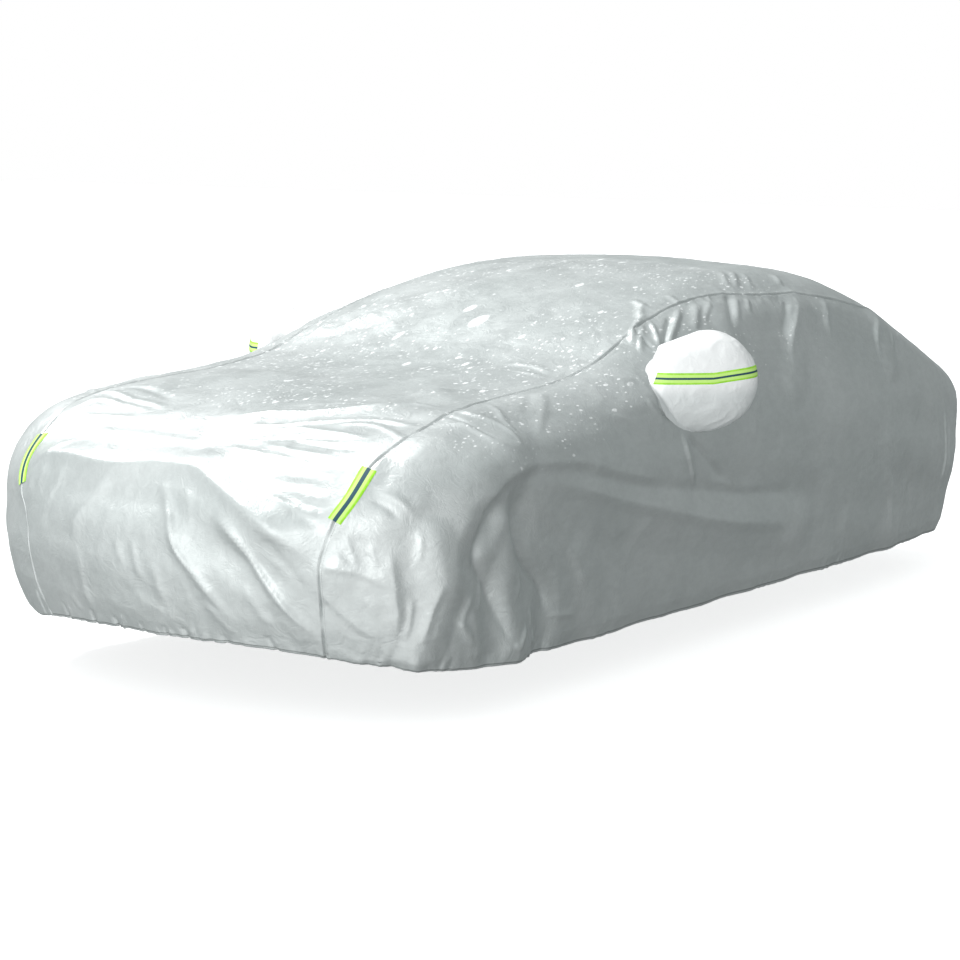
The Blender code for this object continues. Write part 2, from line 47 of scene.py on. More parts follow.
# The shape that the cover is made to. Heights are above the ground here, +X is the left-hand
# side and -Y the front; toPart moves every finished piece to the part's own origin.
form = {
    "topLine": columns("y height fall", [
        (-2.45, 0.600, 0.02), (-2.32, 0.720, 0.02), (-2.20, 0.795, 0.02), (-2.05, 0.860, 0.02),
        (-1.90, 0.915, 0.02), (-1.70, 0.955, 0.02), (-1.45, 0.980, 0.02), (-1.15, 1.000, 0.02),
        (-0.90, 1.035, 0.03), (-0.45, 1.185, 0.045), (-0.10, 1.285, 0.05), (0.25, 1.345, 0.05),
        (0.65, 1.362, 0.05), (0.95, 1.342, 0.05), (1.38, 1.240, 0.05), (1.60, 1.135, 0.05),
        (1.90, 1.005, 0.05), (2.15, 0.920, 0.05), (2.30, 0.885, 0.05), (2.45, 0.810, 0.05)]),
    "frontLine": columns("z y", [
        (0.10, -2.15), (0.17, -2.20), (0.25, -2.25), (0.35, -2.295), (0.50, -2.325),
        (0.62, -2.325), (0.75, -2.30), (1.00, -2.20)]),
    "tailLine": columns("z y", [
        (0.10, 2.15), (0.20, 2.22), (0.40, 2.30), (0.65, 2.36), (0.85, 2.38), (1.00, 2.36),
        (1.20, 2.30)]),
    "widthLine": columns("z half", [
        (0.10, 0.915), (0.18, 0.930), (0.35, 0.947), (0.55, 0.955), (0.75, 0.945),
        (0.90, 0.915), (1.00, 0.875), (1.15, 0.790), (1.30, 0.690), (1.45, 0.580)]),
    "planLine": columns("y share", [
        (-2.40, 0.91), (-2.20, 0.96), (-1.95, 0.99), (-1.70, 1.00), (-1.40, 1.00),
        (1.00, 1.00), (1.50, 0.98), (1.90, 0.935), (2.20, 0.88), (2.50, 0.80)]),
    "fallAt": 0.8,
    "frontBow": 0.24,          # how far the front curves back 1 m out from the middle
    "frontBowGrowth": 0.5,
    "tailBow": 0.20,
    "roundTop": 0.14,
    "roundSide": 0.17,
    "roundEnd": 0.20,
    "spine": (-1.75, 1.85, 0.42),
    "frontFrom": -1.2,         # where lines to the front and to the top start, inside the form
    "topFrom": 0.6,
    "roofSeatY": 0.45,
    "sheet": 0.0025}

hem = {
    "side": 0.165,             # height along the sides
    "rise": 0.075,             # how much higher it is in the middle of the front and tail
    "riseFrom": 1.70,
    "riseOver": 0.30,
    "halfWidth": 0.95,
    "tuck": 0.012,             # how far the elastic draws it in
    "tuckFrom": 0.75,
    "waves": columns("waves depth start", [(1.7, 0.004, 0.4), (3.1, 0.003, 1.9)]),
    "waveHeight": 0.22,
    "waveLean": 0.7,
    # how far back and up each row of the turned-in edge lies, which holds the elastic
    "turnIn": [(0.0012, -0.0012), (0.0030, 0.0005), (0.0036, 0.008), (0.0038, 0.024)],
    "gather": 0.0042,          # depth of the small gathers over the elastic
    "gatherHeight": 0.050,
    "gatherStretch": 0.12,     # they change this much more slowly upwards
    "gatherWaves": (34, 34, 5),
    "fineWaves": 61,
    "fineShare": 0.6,
    "patchWaves": 3.0}

# The left seam from the front hem over the top to the tail hem: rough places, and the point of
# the hem below each.
seam = columns("x y z hemX hemY", [
    (0.540, -2.120, 0.220, 0.54, -2.12), (0.585, -2.190, 0.370, 0.54, -2.12),
    (0.610, -2.222, 0.530, 0.54, -2.12), (0.655, -2.212, 0.660, 0.64, -2.10),
    (0.678, -2.155, 0.725, 0.71, -2.07), (0.682, -2.088, 0.800, 0.78, -2.03),
    (0.692, -1.980, 0.865, 0.87, -1.95), (0.705, -1.830, 0.918, 0.95, -1.82),
    (0.695, -1.600, 0.952, 0.98, -1.62), (0.655, -1.300, 0.978, 0.98, -1.32),
    (0.665, -0.980, 1.003, 1.00, -0.98), (0.670, -0.720, 1.055, 1.00, -0.72),
    (0.665, -0.450, 1.150, 1.00, -0.45), (0.652, -0.150, 1.225, 1.00, -0.15),
    (0.672, 0.150, 1.258, 1.00, 0.15), (0.705, 0.450, 1.243, 1.00, 0.45),
    (0.718, 0.750, 1.236, 1.00, 0.75), (0.750, 1.200, 1.175, 1.00, 1.20),
    (0.740, 1.550, 1.080, 1.00, 1.55), (0.710, 1.900, 0.955, 0.95, 1.88),
    (0.680, 2.120, 0.890, 0.85, 2.02), (0.650, 2.245, 0.800, 0.74, 2.10),
    (0.610, 2.300, 0.620, 0.56, 2.17), (0.575, 2.250, 0.420, 0.56, 2.17),
    (0.540, 2.170, 0.240, 0.56, 2.17)])
seamCorners = {"front": 2, "tail": 22, "fade": 3.0}   # in rows of that table


# Smooth value of a column at places of the table's first column, without overshoot.
def smoothValue(lines, column, at):
    keys, values = list(lines.values())[0], lines[column]
    at = np.clip(at, keys[0], keys[-1])
    step = np.diff(keys)
    slope = np.diff(values) / step
    bend = np.concatenate([slope[:1], np.zeros(len(slope) - 1), slope[-1:]])
    for row in range(1, len(slope)):
        before, after = slope[row - 1], slope[row]
        if before * after > 0:
            weightBefore = 2 * step[row] + step[row - 1]
            weightAfter = step[row] + 2 * step[row - 1]
            weights = weightBefore + weightAfter
            bend[row] = weights / (weightBefore / before + weightAfter / after)
    row = np.clip(np.searchsorted(keys, at, side="right") - 1, 0, len(step) - 1)
    t = (at - keys[row]) / step[row]
    return ((1 + 2 * t) * (1 - t) ** 2 * values[row] + t * (1 - t) ** 2 * step[row] * bend[row]
            + t * t * (3 - 2 * t) * values[row + 1] + t * t * (t - 1) * step[row] * bend[row + 1])


# Above zero outside the form, below zero inside it.
def outsideForm(points):
    x, y, z = np.abs(points[..., 0]), points[..., 1], points[..., 2]
    top = smoothValue(form["topLine"], "height", y)
    top = top - smoothValue(form["topLine"], "fall", y) * (x / form["fallAt"]) ** 2
    front = smoothValue(form["frontLine"], "y", z)
    front = front + form["frontBow"] * x ** 2 * (1 + form["frontBowGrowth"] * x ** 2)
    tail = smoothValue(form["tailLine"], "y", z) - form["tailBow"] * x ** 2
    half = smoothValue(form["widthLine"], "half", z) * smoothValue(form["planLine"], "share", y)
    edges = [(z - top) / form["roundTop"], (x - half) / form["roundSide"],
             (front - y) / form["roundEnd"], (y - tail) / form["roundEnd"]]
    return sum(np.maximum(0, 1 + edge) ** 2 for edge in edges) - 1


def unit(vectors):
    return vectors / np.maximum(np.linalg.norm(vectors, axis=-1, keepdims=True), 1e-12)


# Where straight lines from inside the form leave it.
def reachForm(starts, directions, halvings=26, furthest=3.0):
    directions = unit(directions)
    near = np.zeros(starts.shape[:-1] + (1,))
    far = near + furthest
    for _ in range(halvings):
        middle = (near + far) / 2
        out = (outsideForm(starts + middle * directions) > 0)[..., None]
        near, far = np.where(out, near, middle), np.where(out, middle, far)
    return starts + near * directions


# Rough places, moved outwards from the spine onto the form.
def onForm(points):
    fore, aft, height = form["spine"]
    starts = np.zeros_like(points)
    starts[..., 1] = np.clip(points[..., 1], fore, aft)
    starts[..., 2] = np.minimum(points[..., 2], height)
    return reachForm(starts, points - starts)


def formFacing(points):
    steps = 0.002 * np.eye(3)
    slopes = [outsideForm(points + step) - outsideForm(points - step) for step in steps]
    return unit(np.stack(slopes, axis=-1))


# The points of a fold's route on the form. A view letter says how the route is given: s side
# (y, z), f front (x, z), t top (x, y), p rough places (x, y, z).
def routeOnForm(view, route, side):
    route = np.array(route, float)
    if view == "p":
        return onForm(route * np.array([side, 1, 1]))
    a, b = route.T
    zero = np.zeros(len(a))
    starts, direction = {
        "s": (np.stack([zero, a, b], -1), (side, 0, 0)),
        "f": (np.stack([a, zero + form["frontFrom"], b], -1), (0, -1, 0)),
        "t": (np.stack([a, b, zero + form["topFrom"]], -1), (0, 0, 1))}[view]
    return reachForm(starts, np.broadcast_to(np.array(direction, float), starts.shape))


# The same route with soft bends between its points.
def softened(line, pieces):
    if len(line) < 3:
        return line
    way = np.concatenate([[0], np.cumsum(np.linalg.norm(np.diff(line, axis=0), axis=1))])
    fine = np.linspace(0, way[-1], (len(line) - 1) * pieces + 1)
    axes = {"way": way, "x": line[:, 0], "y": line[:, 1], "z": line[:, 2]}
    return np.stack([smoothValue(axes, name, fine) for name in "xyz"], axis=-1)


# How far a table of folds lifts or sinks the cloth. Each fold has its reach to the left and to
# the right of its route, its height (a trough where negative), how soft its crest is (2 round,
# 1 creased) and the share of its length over which each end runs out.
def foldLift(points, facing, folds, side=1):
    lift = np.zeros(len(points))
    for view, route, left, right, height, soft, runOut in folds:
        line = softened(routeOnForm(view, route, side), 5)
        reach = max(left, right)
        near = ((points > line.min(0) - reach) & (points < line.max(0) + reach)).all(1)
        near = np.flatnonzero(near)
        if not len(near):
            continue
        here, out = points[near], facing[near]
        lengths = np.linalg.norm(np.diff(line, axis=0), axis=1)
        before = np.concatenate([[0], np.cumsum(lengths)])
        nearest = np.full(len(near), np.inf)
        signed, share = np.zeros(len(near)), np.zeros(len(near))
        for start, end, length, done in zip(line[:-1], line[1:], lengths, before):
            way = (end - start) / length
            along = np.clip((here - start) @ way, 0, length)
            away = here - start - along[:, None] * way
            gap = np.linalg.norm(away, axis=1)
            closer = gap < nearest
            nearest = np.where(closer, gap, nearest)
            turn = (away * np.cross(way, out)).sum(1)
            signed = np.where(closer, turn * side, signed)
            share = np.where(closer, (done + along) / before[-1], share)
        across = nearest / np.where(signed < 0, left, right)
        shape = np.clip(1 - across ** soft, 0, 1) ** 2
        if runOut:
            ends = np.clip(np.minimum(share, 1 - share) / runOut, 0, 1)
            shape = shape * ends * ends * (3 - 2 * ends)
        lift[near] += height * shape
    return lift


# Soft noise between about -1 and 1, the same on every run: each corner of a cell gets its own
# slope from a hash of its numbers.
def softNoise(points, seed):
    cell = np.floor(points).astype(np.int64)
    part = points - cell
    blend = part ** 3 * (part * (part * 6 - 15) + 10)
    total = np.zeros(points.shape[:-1])
    for corner in np.ndindex(2, 2, 2):
        spot = cell + np.array(corner)
        key = (spot[..., 0] * 374761393 + spot[..., 1] * 668265263 + spot[..., 2] * 2147483647
               + seed * 974634777) & 0xFFFFFFFF
        key = ((key ^ (key >> 13)) * 1274126177) & 0xFFFFFFFF
        key = key ^ (key >> 16)
        turn = (key & 1023) / 1023 * 2 * math.pi
        lean = ((key >> 10) & 1023) / 1023 * 2 - 1
        flat = np.sqrt(1 - lean ** 2)
        away = part - np.array(corner)
        slope = (away[..., 0] * flat * np.cos(turn) + away[..., 1] * flat * np.sin(turn)
                 + away[..., 2] * lean)
        weight = np.prod(np.where(np.array(corner) == 1, blend, 1 - blend), axis=-1)
        total += slope * weight
    return total * 1.6


# Crests like those of crumpled cloth: sharp ridges between broad hollows, 0 to 1.
def crumple(points, seed):
    return np.clip(1 - np.abs(softNoise(points, seed)) * 2.2, 0, 1) ** 2


# Share between 0.15 and 1.6 that changes from place to place.
def patchy(points, waves, seed, contrast=1.0):
    return np.clip(softNoise(points * waves, seed) * contrast + 0.75, 0.15, 1.6)


def hemHeight(x, y):
    end = np.clip((np.abs(y) - hem["riseFrom"]) / hem["riseOver"], 0, 1)
    return hem["side"] + end * hem["rise"] * np.maximum(0, 1 - (x / hem["halfWidth"]) ** 2)


# Main folds of the front, the top and each side, as in the solids.
frontFolds = [
    ("f", [(-0.62, 0.73), (-0.20, 0.76), (0.05, 0.77), (0.24, 0.72), (0.49, 0.60), (0.62, 0.52)],
     0.13, 0.13, 0.014, 2, 0),
    ("f", [(0.00, 0.68), (0.10, 0.58), (0.19, 0.46), (0.30, 0.27)], 0.05, 0.06, 0.005, 2, 0.2),
    ("f", [(0.23, 0.65), (0.38, 0.54), (0.47, 0.40), (0.57, 0.25)], 0.05, 0.06, 0.006, 2, 0.2),
    ("f", [(-0.20, 0.72), (-0.32, 0.58), (-0.38, 0.40)], 0.08, 0.08, 0.003, 2, 0.2),
    ("f", [(-0.08, 0.66), (-0.06, 0.40)], 0.10, 0.10, -0.002, 2, 0),
    ("f", [(0.22, 0.58), (0.40, 0.30)], 0.10, 0.10, -0.002, 2, 0),
    ("f", [(0.12, 0.80), (0.34, 0.82), (0.66, 0.80)], 0.09, 0.09, 0.009, 2, 0),
    ("t", [(0.05, -1.92), (0.30, -1.74), (0.68, -1.67), (0.92, -1.67)], 0.12, 0.12, 0.012, 2, 0),
    ("t", [(-0.62, -1.95), (-0.55, -1.60), (-0.30, -1.30)], 0.13, 0.13, 0.010, 2, 0),
    ("t", [(0.30, -1.20), (0.55, -1.47), (0.88, -1.60)], 0.11, 0.11, 0.009, 2, 0),
    ("t", [(-0.55, -0.62), (-0.20, -0.20), (-0.05, 0.05)], 0.12, 0.12, 0.008, 2, 0)]
leftFolds = [
    ("s", [(-1.95, 0.52), (-1.86, 0.70), (-1.70, 0.79), (-1.45, 0.80), (-1.07, 0.74),
           (-0.62, 0.64)], 0.17, 0.17, 0.020, 2, 0),
    ("s", [(-1.84, 0.66), (-1.89, 0.55), (-1.80, 0.40), (-1.74, 0.22)], 0.08, 0.08, -0.022, 2, 0),
    ("s", [(-1.66, 0.66), (-1.60, 0.52), (-1.49, 0.38), (-1.45, 0.22)], 0.10, 0.10, -0.024, 2, 0),
    ("s", [(-1.74, 0.62), (-1.70, 0.42), (-1.60, 0.20)], 0.09, 0.09, 0.020, 2, 0),
    ("s", [(-2.02, 0.60), (-1.99, 0.42), (-2.00, 0.22)], 0.09, 0.09, 0.016, 2, 0),
    ("s", [(-1.50, 0.70), (-0.91, 0.58), (-0.21, 0.45), (0.35, 0.38)], 0.14, 0.14, 0.014, 2, 0),
    ("s", [(-1.10, 0.70), (-0.11, 0.57), (0.50, 0.50)], 0.12, 0.12, -0.008, 2, 0),
    ("s", [(-1.25, 0.48), (-1.12, 0.20)], 0.12, 0.12, 0.010, 2, 0),
    ("s", [(0.70, 1.20), (0.52, 1.08), (0.36, 0.92)], 0.11, 0.11, 0.014, 2, 0),
    ("s", [(1.34, 1.12), (1.26, 0.94)], 0.10, 0.10, 0.011, 2, 0),
    ("s", [(0.05, 1.20), (0.00, 1.02)], 0.10, 0.10, 0.008, 2, 0),
    ("s", [(1.20, 0.62), (1.75, 0.50), (2.05, 0.46)], 0.15, 0.15, 0.012, 2, 0),
    ("s", [(0.80, 0.32), (1.30, 0.24)], 0.12, 0.12, 0.008, 2, 0)]
rightFolds = [
    ("s", [(-1.93, 0.50), (-1.80, 0.72), (-1.52, 0.80), (-1.10, 0.76), (-0.70, 0.67)],
     0.18, 0.18, 0.018, 2, 0),
    ("s", [(-1.88, 0.60), (-1.78, 0.42), (-1.80, 0.22)], 0.09, 0.09, -0.018, 2, 0),
    ("s", [(-1.58, 0.64), (-1.52, 0.44), (-1.36, 0.24)], 0.11, 0.11, -0.021, 2, 0),
    ("s", [(-1.40, 0.66), (-0.70, 0.50), (0.05, 0.44)], 0.14, 0.14, 0.013, 2, 0),
    ("s", [(-0.90, 0.60), (0.10, 0.52), (0.70, 0.55)], 0.12, 0.12, -0.008, 2, 0),
    ("s", [(0.60, 1.20), (0.46, 1.04), (0.40, 0.88)], 0.11, 0.11, 0.012, 2, 0),
    ("s", [(1.22, 1.14), (1.18, 0.96)], 0.10, 0.10, 0.012, 2, 0),
    ("s", [(1.05, 0.58), (1.60, 0.52), (2.05, 0.44)], 0.15, 0.15, 0.014, 2, 0),
    ("s", [(0.30, 0.36), (0.62, 0.20)], 0.12, 0.12, 0.009, 2, 0)]

# Creases and small ridges of the front and the bonnet, from the photograph.
frontCreases = [
    # edge of the band over the nose: soft above, steep below
    ("p", [(-0.66, -2.17, 0.70), (-0.55, -2.17, 0.75), (-0.42, -2.19, 0.76), (-0.22, -2.22, 0.75),
           (0.00, -2.20, 0.77), (0.13, -2.21, 0.76), (0.21, -2.23, 0.73), (0.36, -2.27, 0.67),
           (0.49, -2.26, 0.60), (0.60, -2.22, 0.53)], 0.12, 0.065, 0.024, 1.0, 0.16),
    ("f", [(-0.60, 0.62), (-0.40, 0.67), (-0.15, 0.67), (0.04, 0.66), (0.20, 0.60),
           (0.36, 0.52), (0.52, 0.42)], 0.07, 0.11, -0.010, 2, 0.1),
    ("p", [(-0.01, -2.23, 0.74), (0.08, -2.31, 0.63), (0.11, -2.32, 0.55), (0.19, -2.31, 0.46),
           (0.25, -2.28, 0.38), (0.29, -2.25, 0.32)], 0.024, 0.034, 0.0095, 1.0, 0.25),
    ("p", [(0.23, -2.28, 0.68), (0.31, -2.30, 0.61), (0.38, -2.29, 0.54), (0.44, -2.27, 0.45),
           (0.50, -2.22, 0.36), (0.56, -2.17, 0.29)], 0.024, 0.034, 0.0105, 1.0, 0.25),
    ("p", [(-0.21, -2.22, 0.74), (-0.26, -2.28, 0.67), (-0.32, -2.30, 0.58),
           (-0.35, -2.30, 0.50)], 0.05, 0.028, 0.007, 1.2, 0.3),
    ("p", [(-0.63, -2.21, 0.64), (-0.58, -2.20, 0.70), (-0.51, -2.18, 0.74)],
     0.03, 0.05, 0.006, 1.3, 0.3),
    ("p", [(-0.55, -2.18, 0.72), (-0.50, -2.12, 0.79), (-0.46, -2.12, 0.81)],
     0.03, 0.04, 0.005, 1.3, 0.3),
    ("f", [(-0.30, 0.50), (-0.31, 0.36), (-0.28, 0.27)], 0.030, 0.030, 0.005, 1.4, 0.3),
    ("f", [(-0.14, 0.56), (-0.10, 0.45)], 0.025, 0.025, 0.004, 1.4, 0.3),
    ("f", [(-0.07, 0.56), (-0.03, 0.41)], 0.025, 0.025, 0.004, 1.4, 0.3),
    ("f", [(-0.44, 0.70), (-0.50, 0.60), (-0.52, 0.48)], 0.04, 0.04, 0.004, 1.6, 0.3),
    ("f", [(0.02, 0.50), (0.05, 0.34)], 0.03, 0.04, 0.004, 1.5, 0.3),
    ("f", [(0.34, 0.46), (0.43, 0.30)], 0.03, 0.03, 0.004, 1.4, 0.3),
    ("f", [(0.42, 0.62), (0.52, 0.50), (0.58, 0.42)], 0.03, 0.03, -0.003, 1.4, 0.3),
    ("p", [(0.07, -2.31, 0.65), (0.11, -2.32, 0.55), (0.19, -2.31, 0.46)],
     0.012, 0.014, 0.0035, 1, 0.3),
    ("p", [(0.30, -2.30, 0.62), (0.38, -2.29, 0.54), (0.44, -2.27, 0.45)],
     0.012, 0.014, 0.0035, 1, 0.3),
    ("p", [(-0.24, -2.25, 0.71), (-0.32, -2.30, 0.60), (-0.36, -2.30, 0.53)],
     0.014, 0.014, 0.0035, 1, 0.3),
    ("f", [(-0.52, 0.73), (-0.56, 0.66)], 0.016, 0.016, 0.004, 1.1, 0.3),
    ("f", [(-0.47, 0.74), (-0.53, 0.64)], 0.016, 0.016, -0.004, 1.1, 0.3),
    ("f", [(-0.42, 0.75), (-0.47, 0.66), (-0.50, 0.60)], 0.018, 0.018, 0.005, 1.1, 0.3),
    ("f", [(-0.58, 0.68), (-0.62, 0.60)], 0.016, 0.018, 0.004, 1.1, 0.3),
    ("f", [(0.12, 0.71), (0.16, 0.62)], 0.016, 0.016, 0.004, 1.1, 0.3),
    ("f", [(0.20, 0.38), (0.30, 0.26)], 0.02, 0.02, 0.004, 1.2, 0.3),
    ("f", [(-0.40, 0.34), (-0.36, 0.27)], 0.018, 0.018, 0.004, 1.2, 0.3),
    # streaks from the strip's corner towards the middle of the nose
    ("p", [(0.35, -2.19, 0.76), (0.49, -2.17, 0.76), (0.61, -2.16, 0.74)],
     0.022, 0.030, -0.006, 1.4, 0.3),
    ("p", [(0.42, -2.21, 0.73), (0.52, -2.20, 0.71), (0.63, -2.19, 0.69)],
     0.020, 0.026, -0.006, 1.3, 0.3),
    ("p", [(0.33, -2.22, 0.73), (0.48, -2.22, 0.70), (0.62, -2.21, 0.65)],
     0.020, 0.030, 0.005, 1.3, 0.3),
    ("p", [(0.48, -2.23, 0.69), (0.63, -2.20, 0.62)], 0.020, 0.026, -0.005, 1.3, 0.3),
    # long thin creases over the nose
    ("p", [(0.10, -2.09, 0.84), (0.23, -2.11, 0.83), (0.44, -2.12, 0.81), (0.66, -2.09, 0.79)],
     0.028, 0.020, 0.006, 1.1, 0.2),
    ("p", [(-0.62, -2.06, 0.81), (-0.39, -2.08, 0.84), (-0.10, -2.09, 0.84),
           (0.09, -2.10, 0.83)], 0.05, 0.035, 0.006, 1.3, 0.25),
    ("p", [(0.27, -2.01, 0.87), (0.47, -2.02, 0.86), (0.65, -2.00, 0.86)],
     0.018, 0.026, -0.005, 1.2, 0.25),
    ("p", [(0.15, -2.00, 0.88), (0.36, -1.94, 0.90), (0.61, -1.95, 0.89)],
     0.022, 0.022, 0.006, 1.2, 0.25),
    ("p", [(0.24, -2.05, 0.86), (0.41, -2.07, 0.84), (0.56, -2.06, 0.83)],
     0.018, 0.022, 0.005, 1.2, 0.3),
    ("p", [(0.23, -2.04, 0.86), (0.41, -1.99, 0.89), (0.56, -1.98, 0.89)],
     0.016, 0.020, -0.005, 1.2, 0.3),
    ("p", [(0.38, -1.90, 0.91), (0.52, -1.85, 0.92), (0.62, -1.88, 0.91), (0.72, -1.94, 0.88)],
     0.022, 0.026, 0.006, 1.2, 0.25),
    # two long ridges across the front of the bonnet
    ("p", [(0.02, -1.95, 0.91), (0.15, -1.88, 0.92), (0.27, -1.83, 0.93), (0.43, -1.73, 0.95),
           (0.56, -1.62, 0.96), (0.68, -1.62, 0.95)], 0.040, 0.030, 0.011, 1.1, 0.2),
    ("p", [(0.05, -1.99, 0.89), (0.24, -1.94, 0.90), (0.35, -1.88, 0.92), (0.55, -1.81, 0.93),
           (0.72, -1.82, 0.92)], 0.030, 0.024, 0.008, 1.1, 0.2),
    ("p", [(0.10, -1.84, 0.93), (0.27, -1.74, 0.95), (0.45, -1.64, 0.96), (0.60, -1.57, 0.96)],
     0.03, 0.035, -0.005, 1.4, 0.3),
    # small tucks over the elastic of the front hem
    ("f", [(-0.62, 0.30), (-0.61, 0.22)], 0.012, 0.016, -0.008, 1.1, 0),
    ("f", [(-0.46, 0.28), (-0.45, 0.21)], 0.012, 0.012, -0.007, 1.1, 0),
    ("f", [(-0.43, 0.27), (-0.44, 0.21)], 0.010, 0.014, 0.006, 1.1, 0),
    ("f", [(-0.31, 0.28), (-0.30, 0.21)], 0.012, 0.014, -0.008, 1.1, 0),
    ("f", [(-0.20, 0.27), (-0.19, 0.21)], 0.012, 0.012, -0.009, 1.1, 0),
    ("f", [(-0.16, 0.28), (-0.17, 0.21)], 0.010, 0.012, 0.007, 1.1, 0),
    ("f", [(-0.08, 0.27), (-0.07, 0.21)], 0.012, 0.012, -0.007, 1.1, 0),
    ("f", [(0.02, 0.27), (0.03, 0.21)], 0.012, 0.014, -0.008, 1.1, 0),
    ("f", [(0.10, 0.27), (0.11, 0.21)], 0.012, 0.012, -0.009, 1.1, 0),
    ("f", [(0.13, 0.27), (0.14, 0.21)], 0.010, 0.010, 0.006, 1.1, 0),
    ("f", [(0.24, 0.26), (0.25, 0.20)], 0.012, 0.012, -0.006, 1.1, 0),
    ("f", [(0.40, 0.27), (0.43, 0.20)], 0.014, 0.014, -0.006, 1.1, 0),
    # left edge of the bonnet
    ("p", [(0.15, -1.73, 0.95), (0.35, -1.53, 0.97), (0.47, -1.35, 0.98), (0.60, -1.15, 0.99)],
     0.035, 0.030, 0.007, 1.2, 0.2),
    ("p", [(0.36, -0.85, 1.04), (0.48, -0.84, 1.04), (0.60, -0.89, 1.02)],
     0.030, 0.030, 0.006, 1.3, 0.3),
    ("p", [(0.44, -0.91, 1.03), (0.62, -0.94, 1.01)], 0.025, 0.025, 0.005, 1.2, 0.3),
    # far corner of the bonnet
    ("p", [(-0.66, -1.88, 0.90), (-0.65, -1.79, 0.93), (-0.44, -1.85, 0.92),
           (-0.26, -1.90, 0.91)], 0.035, 0.030, 0.008, 1.2, 0.25),
    ("p", [(-0.66, -1.96, 0.88), (-0.58, -1.87, 0.91), (-0.32, -1.93, 0.90)],
     0.028, 0.028, 0.007, 1.2, 0.25),
    ("p", [(-0.68, -2.01, 0.85), (-0.50, -1.99, 0.88), (-0.32, -1.98, 0.88)],
     0.028, 0.028, 0.007, 1.2, 0.25),
    ("p", [(-0.69, -1.75, 0.93), (-0.56, -1.71, 0.94), (-0.30, -1.83, 0.93)],
     0.035, 0.035, -0.007, 1.3, 0.3),
    ("p", [(-0.60, -1.55, 0.96), (-0.45, -1.35, 0.98), (-0.38, -1.10, 1.00)],
     0.05, 0.05, 0.006, 1.5, 0.3),
    # far edge of the slope up to the roof
    ("p", [(-0.53, -0.71, 1.07), (-0.44, -0.50, 1.16), (-0.36, -0.34, 1.21),
           (-0.27, -0.11, 1.28), (-0.24, -0.02, 1.30)], 0.030, 0.030, 0.006, 1.2, 0.25),
    ("p", [(-0.49, -0.56, 1.13), (-0.39, -0.39, 1.19), (-0.28, -0.25, 1.24)],
     0.025, 0.025, -0.005, 1.2, 0.3),
    ("p", [(-0.62, -0.80, 1.05), (-0.57, -0.50, 1.15), (-0.50, -0.20, 1.25)],
     0.03, 0.04, 0.007, 1.3, 0.25),
    ("p", [(-0.30, -1.12, 1.00), (0.00, -0.96, 1.02), (0.30, -0.92, 1.03)],
     0.08, 0.07, -0.006, 2, 0.3),
    # pleats of the roof above the left seam
    ("p", [(0.54, 0.44, 1.33), (0.65, 0.29, 1.28)], 0.022, 0.030, 0.009, 1.2, 0.35),
    ("p", [(0.54, 0.52, 1.33), (0.61, 0.42, 1.30), (0.67, 0.33, 1.27)],
     0.022, 0.030, 0.0105, 1.2, 0.35),
    ("p", [(0.57, 0.56, 1.32), (0.69, 0.42, 1.26)], 0.020, 0.025, 0.009, 1.2, 0.35),
    ("p", [(0.60, 0.76, 1.31), (0.68, 0.69, 1.27)], 0.025, 0.035, 0.012, 1.2, 0.35),
    ("p", [(0.50, -0.18, 1.25), (0.62, -0.26, 1.21)], 0.025, 0.030, 0.009, 1.2, 0.35),
    ("p", [(0.57, -0.06, 1.26), (0.66, -0.10, 1.23)], 0.020, 0.025, 0.0075, 1.2, 0.35),
    ("p", [(0.55, -0.20, 1.23), (0.64, -0.36, 1.18)], 0.020, 0.030, 0.009, 1.2, 0.35)]

